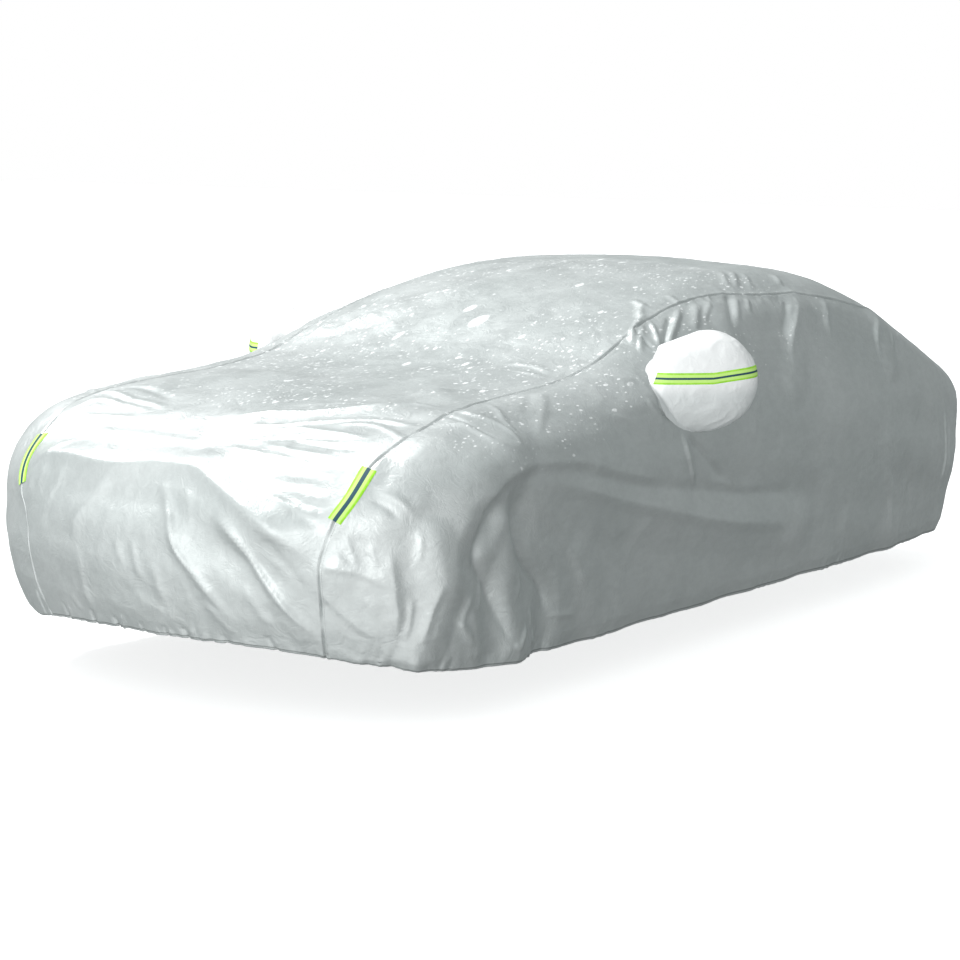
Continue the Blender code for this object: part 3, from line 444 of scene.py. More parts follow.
# Creases of the left side, from the photograph.
leftCreases = [
    # corner below the strip
    ("p", [(0.63, -2.21, 0.57), (0.69, -2.18, 0.53)], 0.02, 0.02, 0.003, 1.2, 0.35),
    ("p", [(0.67, -2.19, 0.63), (0.70, -2.18, 0.56), (0.72, -2.17, 0.52)],
     0.022, 0.022, 0.0045, 1.2, 0.35),
    ("p", [(0.72, -2.13, 0.73), (0.78, -2.11, 0.70), (0.81, -2.09, 0.66)],
     0.020, 0.026, -0.0045, 1.2, 0.3),
    ("p", [(0.70, -2.11, 0.77), (0.80, -2.08, 0.72), (0.84, -2.06, 0.67)],
     0.028, 0.022, 0.0045, 1.2, 0.3),
    ("p", [(0.60, -2.22, 0.52), (0.69, -2.18, 0.51), (0.77, -2.14, 0.48), (0.80, -2.11, 0.46)],
     0.05, 0.022, 0.006, 1.2, 0.25),
    ("p", [(0.58, -2.22, 0.46), (0.67, -2.15, 0.35), (0.74, -2.08, 0.28)],
     0.05, 0.030, 0.006, 1.3, 0.25),
    ("p", [(0.80, -2.13, 0.60), (0.79, -2.10, 0.45), (0.77, -2.06, 0.29)],
     0.035, 0.050, 0.0067, 1.3, 0.25),
    ("p", [(0.75, -2.16, 0.60), (0.76, -2.14, 0.52)], 0.02, 0.02, 0.003, 1.2, 0.35),
    ("p", [(0.70, -2.17, 0.44), (0.74, -2.14, 0.40), (0.76, -2.13, 0.34)],
     0.03, 0.03, 0.003, 1.3, 0.35),
    ("p", [(0.86, -2.06, 0.66), (0.85, -2.05, 0.60), (0.84, -2.06, 0.52)],
     0.018, 0.022, 0.0037, 1.1, 0.35),
    ("p", [(0.83, -2.06, 0.44), (0.80, -2.05, 0.34), (0.78, -2.05, 0.28)],
     0.020, 0.024, 0.0045, 1.1, 0.3),
    ("p", [(0.89, -1.99, 0.49), (0.85, -2.01, 0.36), (0.81, -2.01, 0.27)],
     0.028, 0.036, 0.006, 1.1, 0.3),
    ("p", [(0.93, -1.86, 0.46), (0.90, -1.90, 0.34), (0.90, -1.84, 0.24)],
     0.024, 0.030, 0.0053, 1.1, 0.3),
    ("p", [(0.94, -1.82, 0.47), (0.92, -1.84, 0.35)], 0.020, 0.024, 0.0045, 1.1, 0.3),
    ("p", [(0.95, -1.68, 0.61), (0.95, -1.66, 0.53), (0.95, -1.65, 0.44), (0.94, -1.70, 0.36)],
     0.020, 0.028, 0.006, 1.1, 0.3),
    # sweep over the front quarter: sharp edge above, hollow below
    ("p", [(0.93, -1.90, 0.50), (0.93, -1.89, 0.58), (0.93, -1.84, 0.70), (0.94, -1.74, 0.77),
           (0.94, -1.56, 0.80), (0.94, -1.30, 0.78), (0.95, -1.07, 0.73),
           (0.95, -0.69, 0.65)], 0.16, 0.040, 0.014, 1.2, 0.15),
    ("p", [(0.94, -1.84, 0.66), (0.93, -1.88, 0.55), (0.94, -1.80, 0.43), (0.93, -1.71, 0.30),
           (0.92, -1.65, 0.22)], 0.040, 0.030, -0.011, 1.2, 0.2),
    ("p", [(0.95, -1.69, 0.66), (0.95, -1.61, 0.51), (0.95, -1.47, 0.38), (0.94, -1.42, 0.28)],
     0.035, 0.030, -0.012, 1.1, 0.2),
    ("p", [(0.95, -1.62, 0.62), (0.95, -1.54, 0.50), (0.95, -1.41, 0.36)],
     0.04, 0.05, 0.006, 1.4, 0.3),
    ("p", [(0.95, -1.57, 0.71), (0.95, -1.40, 0.57), (0.95, -1.25, 0.39), (0.94, -1.21, 0.30)],
     0.05, 0.04, 0.006, 1.5, 0.25),
    ("p", [(0.94, -1.43, 0.29), (0.93, -1.35, 0.28), (0.93, -1.26, 0.27)],
     0.03, 0.014, 0.006, 1.1, 0.3),
    ("p", [(0.94, -1.56, 0.34), (0.93, -1.55, 0.26)], 0.02, 0.02, 0.007, 1.1, 0.35),
    ("p", [(0.92, -1.66, 0.24), (0.92, -1.62, 0.21)], 0.014, 0.014, 0.007, 1.1, 0.3),
    ("p", [(0.93, -1.56, 0.25), (0.92, -1.52, 0.22), (0.92, -1.48, 0.23)],
     0.012, 0.014, 0.007, 1.1, 0.3),
    ("p", [(0.94, -1.60, 0.30), (0.92, -1.64, 0.21)], 0.02, 0.02, 0.007, 1.1, 0.35),
    ("p", [(0.94, -1.50, 0.27), (0.92, -1.53, 0.20)], 0.015, 0.018, 0.006, 1.1, 0.35),
    ("p", [(0.90, -1.94, 0.36), (0.91, -1.88, 0.31), (0.90, -1.83, 0.25)],
     0.020, 0.020, 0.006, 1.1, 0.35),
    # long folds along the middle of the side
    ("p", [(0.94, -1.53, 0.75), (0.95, -0.91, 0.60), (0.95, -0.21, 0.46), (0.95, 0.31, 0.39)],
     0.07, 0.045, 0.012, 1.4, 0.2),
    ("p", [(0.95, -1.11, 0.70), (0.95, -0.55, 0.61), (0.95, -0.11, 0.55), (0.95, 0.43, 0.50)],
     0.05, 0.06, -0.009, 1.4, 0.25),
    ("p", [(0.95, -0.42, 0.64), (0.95, -0.10, 0.57), (0.95, 0.16, 0.55)],
     0.03, 0.03, 0.004, 1.3, 0.3),
    # drawn in below the front of the pocket, and down from it
    ("p", [(0.89, -0.68, 0.95), (0.91, -0.68, 0.91), (0.92, -0.63, 0.87), (0.93, -0.58, 0.86)],
     0.018, 0.014, -0.012, 1.1, 0.25),
    ("p", [(0.89, -0.75, 0.94), (0.91, -0.72, 0.91), (0.92, -0.67, 0.87)],
     0.022, 0.016, 0.007, 1.1, 0.3),
    ("p", [(0.88, -1.03, 0.93), (0.92, -0.90, 0.87), (0.94, -0.72, 0.80)],
     0.040, 0.022, 0.006, 1.2, 0.3),
    ("p", [(0.94, -0.56, 0.83), (0.94, -0.55, 0.76), (0.95, -0.48, 0.60)],
     0.06, 0.022, 0.012, 1.2, 0.3),
    ("p", [(0.94, -0.55, 0.82), (0.95, -0.37, 0.70), (0.95, -0.20, 0.59)],
     0.025, 0.06, -0.010, 1.3, 0.3),
    ("p", [(0.71, -0.86, 1.02), (0.78, -0.79, 1.01), (0.84, -0.70, 0.99)],
     0.05, 0.03, 0.006, 1.4, 0.3),
    # top of the front quarter
    ("p", [(0.70, -1.62, 0.95), (0.75, -1.65, 0.94), (0.86, -1.62, 0.90), (0.92, -1.62, 0.84)],
     0.024, 0.024, 0.008, 1.1, 0.25),
    ("p", [(0.70, -1.81, 0.92), (0.80, -1.73, 0.92), (0.88, -1.72, 0.87), (0.92, -1.64, 0.83)],
     0.022, 0.028, 0.008, 1.1, 0.25),
    ("p", [(0.69, -1.70, 0.94), (0.82, -1.72, 0.91), (0.89, -1.70, 0.87)],
     0.018, 0.018, -0.005, 1.2, 0.3),
    ("p", [(0.69, -1.45, 0.97), (0.78, -1.52, 0.94), (0.84, -1.57, 0.92), (0.90, -1.60, 0.87)],
     0.022, 0.028, 0.007, 1.1, 0.25),
    ("p", [(0.71, -1.13, 0.99), (0.83, -1.32, 0.94), (0.90, -1.49, 0.87)],
     0.030, 0.035, 0.006, 1.2, 0.25),
    ("p", [(0.68, -1.15, 0.99), (0.77, -1.32, 0.96), (0.84, -1.45, 0.93)],
     0.025, 0.025, -0.004, 1.2, 0.3),
    # pleats below the left seam and round the pocket
    ("p", [(0.66, -0.09, 1.23), (0.72, -0.24, 1.17), (0.79, -0.43, 1.09)],
     0.016, 0.030, 0.0150, 1.0, 0.35),
    ("p", [(0.68, -0.22, 1.19), (0.74, -0.36, 1.13), (0.79, -0.46, 1.08)],
     0.022, 0.018, -0.0145, 1.1, 0.2),
    ("p", [(0.66, -0.33, 1.18), (0.72, -0.40, 1.13), (0.78, -0.47, 1.09)],
     0.018, 0.018, 0.013, 1.1, 0.25),
    ("p", [(0.62, -0.28, 1.20), (0.66, -0.45, 1.15), (0.72, -0.56, 1.10)],
     0.045, 0.018, 0.0160, 1.1, 0.3),
    ("p", [(0.66, -0.37, 1.17), (0.72, -0.50, 1.12), (0.78, -0.58, 1.08)],
     0.030, 0.014, 0.0110, 1.0, 0.3),
    ("p", [(0.65, -0.44, 1.15), (0.78, -0.51, 1.08)], 0.016, 0.016, -0.0087, 1.1, 0.3),
    ("p", [(0.68, -0.01, 1.23), (0.77, -0.20, 1.14)], 0.030, 0.035, 0.0116, 1.3, 0.25),
    ("p", [(0.66, 0.10, 1.26), (0.70, 0.07, 1.23)], 0.012, 0.014, 0.0058, 1.1, 0.35),
    ("p", [(0.69, 0.08, 1.24), (0.76, -0.10, 1.17)], 0.016, 0.020, 0.0072, 1.1, 0.3),
    ("p", [(0.67, 0.24, 1.26), (0.73, 0.15, 1.20), (0.79, 0.05, 1.14)],
     0.030, 0.030, -0.0116, 1.3, 0.25),
    ("p", [(0.70, 0.27, 1.25), (0.78, 0.12, 1.16)], 0.022, 0.026, 0.0087, 1.2, 0.3),
    ("p", [(0.71, 0.34, 1.24), (0.76, 0.25, 1.19)], 0.018, 0.022, 0.0087, 1.2, 0.3),
    ("p", [(0.72, 0.71, 1.24), (0.77, 0.64, 1.19), (0.84, 0.44, 1.06), (0.89, 0.36, 0.96)],
     0.050, 0.022, 0.0130, 1.1, 0.55),
    ("p", [(0.73, 0.62, 1.22), (0.83, 0.40, 1.08)], 0.030, 0.026, -0.0116, 1.2, 0.25),
    ("p", [(0.76, 1.37, 1.13), (0.85, 1.22, 1.04), (0.90, 1.17, 0.94)],
     0.045, 0.022, 0.010, 1.1, 0.5),
    ("p", [(0.82, 1.44, 1.07), (0.84, 1.40, 1.05), (0.88, 1.30, 0.96)],
     0.030, 0.016, 0.0080, 1.1, 0.5),
    ("p", [(0.74, 0.95, 1.22), (0.80, 0.86, 1.14), (0.85, 0.80, 1.06)],
     0.03, 0.04, 0.0072, 1.4, 0.3),
    # tail corner
    ("p", [(0.89, 1.86, 0.74), (0.90, 1.87, 0.62), (0.90, 1.85, 0.50), (0.90, 1.82, 0.38)],
     0.022, 0.018, 0.008, 1.2, 0.25),
    ("p", [(0.80, 2.06, 0.80), (0.82, 2.08, 0.62), (0.80, 2.08, 0.42)],
     0.03, 0.05, 0.008, 1.2, 0.25),
    ("s", [(1.95, 0.70), (1.90, 0.50), (1.80, 0.30)], 0.06, 0.06, 0.007, 1.5, 0.3),
    ("s", [(1.62, 0.86), (1.74, 0.66), (1.80, 0.46)], 0.05, 0.07, 0.006, 1.5, 0.3),
    ("s", [(1.30, 0.60), (1.42, 0.42), (1.48, 0.24)], 0.05, 0.05, -0.006, 1.5, 0.3),
    ("s", [(1.10, 0.56), (1.22, 0.40), (1.24, 0.22)], 0.05, 0.05, 0.006, 1.5, 0.3)]

# Creases of the far side and the tail, which the photograph doesn't show: made in the same way.
rightCreases = [
    ("s", [(-1.93, 0.50), (-1.86, 0.66), (-1.74, 0.76), (-1.52, 0.80), (-1.10, 0.76),
           (-0.70, 0.67)], 0.045, 0.15, 0.009, 1.2, 0.15),
    ("s", [(-1.90, 0.66), (-1.80, 0.44), (-1.82, 0.24)], 0.035, 0.035, -0.008, 1.2, 0.2),
    ("s", [(-1.60, 0.66), (-1.50, 0.44), (-1.38, 0.26)], 0.035, 0.035, -0.009, 1.2, 0.2),
    ("s", [(-1.72, 0.58), (-1.68, 0.40), (-1.72, 0.28)], 0.026, 0.022, 0.008, 1.1, 0.3),
    ("s", [(-2.02, 0.62), (-2.00, 0.44), (-2.04, 0.28)], 0.030, 0.024, 0.008, 1.1, 0.3),
    ("s", [(-1.40, 0.66), (-0.70, 0.50), (0.05, 0.42)], 0.05, 0.07, 0.007, 1.5, 0.2),
    ("s", [(-0.95, 0.66), (-0.20, 0.55), (0.60, 0.52)], 0.06, 0.05, -0.006, 1.5, 0.25),
    ("s", [(-0.56, 0.83), (-0.48, 0.62)], 0.022, 0.05, 0.007, 1.2, 0.3),
    ("s", [(-0.52, 0.82), (-0.22, 0.62)], 0.05, 0.025, -0.006, 1.3, 0.3),
    ("p", [(0.70, -1.78, 0.93), (0.82, -1.68, 0.91), (0.90, -1.60, 0.86)],
     0.024, 0.024, 0.008, 1.1, 0.25),
    ("p", [(0.69, -1.40, 0.97), (0.80, -1.50, 0.94), (0.90, -1.56, 0.87)],
     0.024, 0.024, 0.007, 1.1, 0.25),
    ("p", [(0.66, -0.05, 1.23), (0.72, -0.22, 1.17), (0.79, -0.42, 1.09)],
     0.028, 0.022, 0.011, 1.1, 0.15),
    ("p", [(0.66, -0.36, 1.17), (0.72, -0.46, 1.12), (0.78, -0.52, 1.08)],
     0.020, 0.018, 0.007, 1.1, 0.3),
    ("p", [(0.70, 0.30, 1.25), (0.78, 0.14, 1.16)], 0.026, 0.022, 0.007, 1.2, 0.3),
    ("p", [(0.72, 0.62, 1.24), (0.80, 0.52, 1.14), (0.88, 0.38, 0.98)],
     0.030, 0.028, 0.011, 1.1, 0.15),
    ("p", [(0.76, 1.28, 1.14), (0.85, 1.20, 1.04), (0.90, 1.14, 0.94)],
     0.034, 0.026, 0.009, 1.1, 0.2),
    ("s", [(1.70, 0.86), (1.78, 0.64), (1.80, 0.44)], 0.06, 0.05, 0.006, 1.5, 0.3),
    ("s", [(1.18, 0.58), (1.30, 0.40), (1.32, 0.22)], 0.05, 0.05, 0.006, 1.5, 0.3),
    ("p", [(0.80, 2.06, 0.80), (0.82, 2.08, 0.60), (0.80, 2.08, 0.40)],
     0.05, 0.03, 0.008, 1.2, 0.25)]
tailCreases = [
    ("p", [(-0.55, 2.24, 0.72), (-0.25, 2.33, 0.76), (0.10, 2.36, 0.74), (0.42, 2.30, 0.68),
           (0.60, 2.24, 0.58)], 0.05, 0.15, 0.010, 1.3, 0.15),
    ("p", [(0.05, 2.36, 0.72), (0.16, 2.34, 0.54), (0.22, 2.28, 0.36)],
     0.045, 0.030, 0.010, 1.2, 0.25),
    ("p", [(-0.20, 2.36, 0.72), (-0.30, 2.32, 0.54), (-0.34, 2.26, 0.34)],
     0.030, 0.045, 0.010, 1.2, 0.25),
    ("p", [(0.36, 2.32, 0.66), (0.46, 2.26, 0.50), (0.50, 2.20, 0.34)],
     0.045, 0.030, 0.009, 1.2, 0.25),
    ("p", [(-0.45, 1.95, 0.97), (-0.10, 1.88, 1.00), (0.30, 1.93, 0.98)],
     0.05, 0.06, 0.007, 1.4, 0.25),
    ("p", [(-0.62, 1.62, 1.09), (-0.40, 1.45, 1.18), (-0.20, 1.20, 1.27)],
     0.045, 0.045, 0.007, 1.4, 0.25),
    ("p", [(0.64, 1.66, 1.08), (0.45, 1.40, 1.20), (0.30, 1.15, 1.28)],
     0.045, 0.045, 0.007, 1.4, 0.25)]

# Small unevenness everywhere: kind, waves to the metre along x, y and z, depth and seed.
wrinkles = [
    ("soft", (1.7, 1.3, 1.9), 0.0034, 3),
    ("soft", (5.0, 3.2, 5.5), 0.0012, 11),
    ("soft", (17.0, 11.0, 15.0), 0.00085, 23),
    ("crest", (4.2, 2.4, 3.6), 0.0018, 31),
    ("crest", (11.0, 7.0, 9.0), 0.0010, 47)]
crestBend = {"waves": 2.3, "reach": 0.8, "middle": 0.25}


def generalLift(points):
    lift = np.zeros(len(points))
    for kind, waves, depth, seed in wrinkles:
        spots = points * np.array(waves)
        if kind == "crest":
            bend = softNoise(points * crestBend["waves"], seed + 1)[:, None] * crestBend["reach"]
            lift += depth * (crumple(spots + bend, seed) - crestBend["middle"])
        else:
            lift += depth * softNoise(spots, seed)
    return lift


# Gathers over the elastic: upright, close together and uneven.
def hemLift(points):
    above = points[:, 2] - hemHeight(points[:, 0], points[:, 1])
    low = np.clip((hem["side"] + hem["waveHeight"] - points[:, 2]) / hem["waveHeight"], 0, 1)
    way = points[:, 1] - hem["waveLean"] * points[:, 0]
    lift = np.zeros(len(points))
    for waves, depth, start in zip(*hem["waves"].values()):
        lift += low * depth * np.sin(2 * math.pi * waves * way + start)
    lift -= hem["tuck"] * np.clip((low - hem["tuckFrom"]) / (1 - hem["tuckFrom"]), 0, 1)
    upright = points * np.array([1, 1, hem["gatherStretch"]])
    close = softNoise(upright * np.array(hem["gatherWaves"]), 72)
    close += hem["fineShare"] * softNoise(upright * hem["fineWaves"], 73)
    fade = np.exp(-np.maximum(above, 0) / hem["gatherHeight"])
    lift += hem["gather"] * patchy(upright, hem["patchWaves"], 71, 1.5) * close * fade
    return lift


# The sewn seam: a groove between two low ridges, with small pleats that run out from it.
seamShape = {
    "groove": 0.0050, "grooveHalf": 0.0036,
    "ridge": 0.0010, "ridgeAt": 0.010, "ridgeHalf": 0.0045,
    "patchWaves": 14,
    "pleat": 0.0028, "pleatReach": 0.045,
    "pleatWaves": (8, 30, 8), "finePleatWaves": 55, "finePleatShare": 0.5,
    "pleatsLeast": 0.35, "pleatsMore": 0.9,
    "mostAt": 0.35, "mostOver": 1.1,     # there are more pleats here, along the roof
    "calmOver": 0.02, "calmLeast": 0.25}  # the cloth is more even where it is sewn down


def seamPleats(points, gap):
    roof = np.clip(1 - np.abs(points[:, 1] - seamShape["mostAt"]) / seamShape["mostOver"], 0, 1)
    close = softNoise(points * np.array(seamShape["pleatWaves"]), 81)
    close += seamShape["finePleatShare"] * softNoise(points * seamShape["finePleatWaves"], 82)
    busy = seamShape["pleatsLeast"] + seamShape["pleatsMore"] * roof
    return seamShape["pleat"] * busy * close * np.exp(-gap / seamShape["pleatReach"])


def seamGroove(points, gap):
    groove = seamShape["groove"] * np.exp(-(gap / seamShape["grooveHalf"]) ** 2)
    fromRidge = (gap - seamShape["ridgeAt"]) / seamShape["ridgeHalf"]
    ridge = seamShape["ridge"] * np.exp(-fromRidge ** 2)
    return patchy(points, seamShape["patchWaves"], 61) * (ridge - groove)


pocket = {
    "centre": (0.955, -0.450, 0.990),
    "half": (0.155, 0.125, 0.180),       # outwards, fore and aft, upwards
    "lean": 0.60,
    "neck": (0.112, 0.118),
    "turnFrom": 0.5,                     # degrees round from the tip
    "turnTo": 112,
    "neckTurns": (118, 124, 124),
    "neckOutside": 0.010,
    "neckInside": 0.012,
    "clear": 0.022,
    "clearAtNeck": 0.7,                  # share of it that is left at the neck
    "openingLess": (0.006, 0.018),       # how much smaller the panel's opening is than the neck
    "openingDown": 0.012,
    "spokes": 160,
    "rings": 70,
    # how far the sewn edge is drawn forwards and down, by degrees round from behind over the top
    "edge": columns("turn forwards down", [
        (0, 0, 0), (80, 0, 0), (105, 0, 0.008), (130, 0.045, 0.022), (150, 0.085, 0.022),
        (170, 0.096, 0.010), (190, 0.118, 0), (210, 0.130, 0), (230, 0.107, 0), (250, 0.065, 0),
        (275, 0.020, 0), (300, 0, 0), (360, 0, 0)]),
    "edgeFrom": 45,                      # degrees from the tip where that starts
    "edgeOver": 60,
    "edgeInwards": 0.5,                  # how much of the way forwards it also goes inwards
    "drawnLeast": 0.001,
    "crests": 0.0026,
    "crestMiddle": 0.3,
    "bend": (9, 0.7),                    # waves to the metre and reach
    "crumple": [(0.9, (9, 10, 13), 102), (0.45, (21, 22, 26), 103)],
    "soft": (0.5, 6, 104),
    "bandRise": 0.018,                   # height of the strip above the middle
    "bandHalf": 0.016,                   # the cloth is even behind the strip
    "bandFade": 0.02,
    "bandLeast": 0.15,
    "rise": 0.004,                       # of the panel, towards the sewn edge
    "riseReach": 0.030,
    "rays": 0.0022,                      # of the creases that run out from the pocket
    "raysReach": 0.09,
    "rayWaves": (3.2, 4)}                # to the radian round it and to the metre away from it


# The panel rises a little towards the sewn edge of the pocket, with creases that run out from it.
def pocketLift(points):
    _, y, z = pocket["centre"]
    wide, high = pocket["neck"]
    away = np.hypot((points[:, 1] - y) / wide, (points[:, 2] - z) / high) - 1
    away = np.maximum(away, 0) * wide
    turn = np.arctan2(points[:, 2] - z, points[:, 1] - y)
    roundIt, awayFromIt = pocket["rayWaves"]
    rays = softNoise(np.stack([turn * roundIt, away * awayFromIt, 0 * turn], -1), 91)
    return (pocket["rise"] * np.exp(-(away / pocket["riseReach"]) ** 2)
            + pocket["rays"] * rays * np.exp(-away / pocket["raysReach"]))


# The front strips, along the seam's rows.
frontStrip = {
    "from": 3.08, "to": 5.18, "width": 0.050,
    "straightened": 0.8,                 # 0 follows the seam, 1 is straight
    "rows": 60, "across": 14,
    "base": 0.0006, "proud": 0.0016, "roundEdge": 0.06,
    "evenGap": 0.05,                     # it lies as even as cloth this far from a seam
    "level": 0.007,                      # of the even cloth below
    "evenReach": 0.042, "evenEnd": 0.12, "evenBeyond": 0.25, "evenStops": 24}


# The cloth lies flat and even where it is sewn down under the two front strips.
def flatUnderStrips(points, lift):
    stops = np.linspace(frontStrip["from"] - frontStrip["evenBeyond"],
                        frontStrip["to"] + frontStrip["evenBeyond"], frontStrip["evenStops"])
    for side in (1, -1):
        line = onForm(seamPlaces(stops) * np.array([side, 1, 1]))
        low, high = line.min(0) - frontStrip["evenEnd"], line.max(0) + frontStrip["evenEnd"]
        near = np.flatnonzero(((points > low) & (points < high)).all(1))
        if len(near):
            away = np.linalg.norm(points[near, None] - line, axis=2).min(axis=1)
            held = np.exp(-(away / frontStrip["evenReach"]) ** 2)
            lift[near] = lift[near] * (1 - held) + frontStrip["level"] * held
    return lift


# Finished places of one panel's points, given how far each is from the nearest seam.
def draped(rough, side, gap):
    shape = rough.shape
    points = onForm(rough.reshape(-1, 3))
    facing = formFacing(points)
    gap = np.broadcast_to(gap, shape[:-1]).reshape(-1)
    lift = np.zeros(len(points))
    for folds, face in ((frontFolds, 1), (leftFolds, 1), (rightFolds, -1), (frontCreases, 1),
                        (tailCreases, 1), (leftCreases, 1), (rightCreases, -1)):
        lift += foldLift(points, facing, folds, face)
    lift += hemLift(points) + seamPleats(points, gap)
    lift += generalLift(points) * np.clip(gap / seamShape["calmOver"], seamShape["calmLeast"], 1)
    if side:
        lift += pocketLift(points)
    lift = flatUnderStrips(points, lift) + seamGroove(points, gap)
    return (points + lift[:, None] * facing).reshape(shape), facing.reshape(shape)


toPart = np.array([0, form["roofSeatY"],
                   float(smoothValue(form["topLine"], "height", form["roofSeatY"]))
                   - form["sheet"]])
seamRows = {"row": np.arange(len(seam["x"]), dtype=float), **seam}
seamEnd = len(seam["x"]) - 1.0


# Rough places on the left seam, at whole or part rows of its table.
def seamPlaces(stops):
    return np.stack([smoothValue(seamRows, name, stops) for name in ("x", "y", "z")], axis=-1)


def linked(name, data):
    piece = bpy.data.objects.new(name, data)
    bpy.context.scene.collection.objects.link(piece)
    return piece


# A mesh from a grid of places, with the cloth's own measures in metres as its UV map.
def clothMesh(name, places, facing, cut, material, skip=None):
    rows, across = places.shape[:2]
    points = (places - toPart).reshape(-1, 3)
    corner = (np.arange(rows - 1)[:, None] * across + np.arange(across - 1)).reshape(-1)
    faces = np.stack([corner, corner + 1, corner + across + 1, corner + across], axis=-1)
    a, b, c = (points[faces[:, index]] for index in (0, 1, 2))
    outwards = facing.reshape(-1, 3)[faces[:, 0]]
    if (np.cross(b - a, c - b) * outwards).sum() < 0:
        faces = faces[:, ::-1]
    if skip is not None:
        faces = faces[~skip(points[faces].mean(axis=1) + toPart)]
    mesh = bpy.data.meshes.new(name)
    mesh.vertices.add(len(points))
    mesh.vertices.foreach_set("co", points.ravel())
    mesh.loops.add(faces.size)
    mesh.loops.foreach_set("vertex_index", faces.ravel().astype(np.int32))
    mesh.polygons.add(len(faces))
    mesh.polygons.foreach_set("loop_start", np.arange(0, faces.size, 4, dtype=np.int32))
    mesh.update(calc_edges=True)
    mesh.shade_smooth()
    layer = mesh.uv_layers.new(name="cut")
    layer.data.foreach_set("uv", cut.reshape(-1, 2)[faces.ravel()].astype(np.float32).ravel())
    mesh.materials.append(material)
    print(name + ":", len(faces), "faces")
    return linked(name, mesh)


# The turned-in edge: rows that go round the fold of the hem and up behind it.
def withTurnIn(places, facing, atStart):
    edge, inner = (places[0], places[1]) if atStart else (places[-1], places[-2])
    out = facing[0] if atStart else facing[-1]
    up = unit(inner - edge)
    folds = np.array([edge - back * out + rise * up for back, rise in hem["turnIn"]])
    outs = np.broadcast_to(out, folds.shape)
    if atStart:
        return np.concatenate([folds[::-1], places]), np.concatenate([outs, facing])
    return np.concatenate([places, folds]), np.concatenate([facing, outs])


# How far along the cut cloth each row of a grid lies, and how far across it each place lies.
def cutMeasures(places):
    along = np.linalg.norm(np.diff(places, axis=0), axis=2).mean(axis=1)
    across = np.linalg.norm(np.diff(places, axis=1), axis=2).cumsum(axis=1)
    return (np.concatenate([[0], np.cumsum(along)]),
            np.concatenate([np.zeros((len(places), 1)), across], axis=1))


def cutMap(across, along):
    return np.stack(np.broadcast_arrays(across, along[:, None]), -1)


centrePanel = {
    "name": "cover_centre_cloth",
    "columns": 150, "uprightRows": 56, "rowLength": 0.0105,
    "crowding": 0.05,                    # how much closer the columns are near the seams
    "edgeShares": (0, 0.0022, 0.0044, 0.0066)}
sidePanel = {
    "name": "cover_side_cloth",
    "rows": 112, "columnLength": 0.0064,
    "edgeShares": (0.0045, 0.0022, 0)}


# Evenly spaced rows of the seam's table between its corners, with more down to the hems.
def panelStops(length, uprights, samples=2001):
    coarse = np.linspace(seamCorners["front"], seamCorners["tail"], samples)
    places = onForm(seamPlaces(coarse))
    way = np.concatenate([[0], np.cumsum(np.linalg.norm(np.diff(places, axis=0), axis=1))])
    count = int(way[-1] / length)
    middle = np.interp(np.linspace(0, way[-1], count + 1), way, coarse)
    if not uprights:
        return middle
    front = np.linspace(0, seamCorners["front"], uprights + 1)[:-1]
    tail = np.linspace(seamCorners["tail"], seamEnd, uprights + 1)[1:]
    return np.concatenate([front, middle, tail])


# Places below a corner of the seam, with their heights eased to the hem's own curve.
def followHem(places, corner, end):
    cornerZ, endZ = seamPlaces(np.array([corner, end], dtype=float))[:, 2]
    x, y, z = (places[..., axis] for axis in range(3))
    hemZ = hemHeight(x, y)
    share = (z - endZ) / (cornerZ - endZ)
    return np.stack([x, y, hemZ + share * (cornerZ - hemZ)], axis=-1)


# Shares of the way across the centre panel: closer near its seams, closest at its edges.
def sharesAcross():
    even = np.linspace(0, 1, centrePanel["columns"] + 1)
    shares = even - centrePanel["crowding"] * np.sin(4 * math.pi * even) / math.pi
    edge = np.array(centrePanel["edgeShares"])
    return np.unique(np.round(np.concatenate([edge, shares[1:-1], 1 - edge]), 7))


def buildCentrePanel(material):
    stops = panelStops(centrePanel["rowLength"], centrePanel["uprightRows"])
    left = seamPlaces(stops)
    right = left * np.array([-1, 1, 1])
    rough = right[:, None] + sharesAcross()[None, :, None] * (left - right)[:, None]
    for corner, end, low in ((seamCorners["front"], 0, stops < seamCorners["front"]),
                             (seamCorners["tail"], seamEnd, stops > seamCorners["tail"])):
        rough[low] = followHem(rough[low], corner, end)
    base = onForm(rough)
    gap = np.minimum(np.linalg.norm(base - base[:, :1], axis=2),
                     np.linalg.norm(base - base[:, -1:], axis=2))
    places, facing = draped(rough, 0, gap)
    places, facing = withTurnIn(places, facing, True)
    places, facing = withTurnIn(places, facing, False)
    down, wide = cutMeasures(places)
    cut = cutMap(wide - wide[:, -1:] / 2, down)
    piece = clothMesh(centrePanel["name"], places, facing, cut, material)
    return piece, (float(wide[:, -1].max()), float(down[-1]))


# Whether the middles of faces lie in the panel's opening into the pocket.
def inOpening(middles):
    _, y, z = pocket["centre"]
    wide, high = np.array(pocket["neck"]) - np.array(pocket["openingLess"])
    return np.hypot((middles[:, 1] - y) / wide,
                    (middles[:, 2] - z + pocket["openingDown"]) / high) < 1


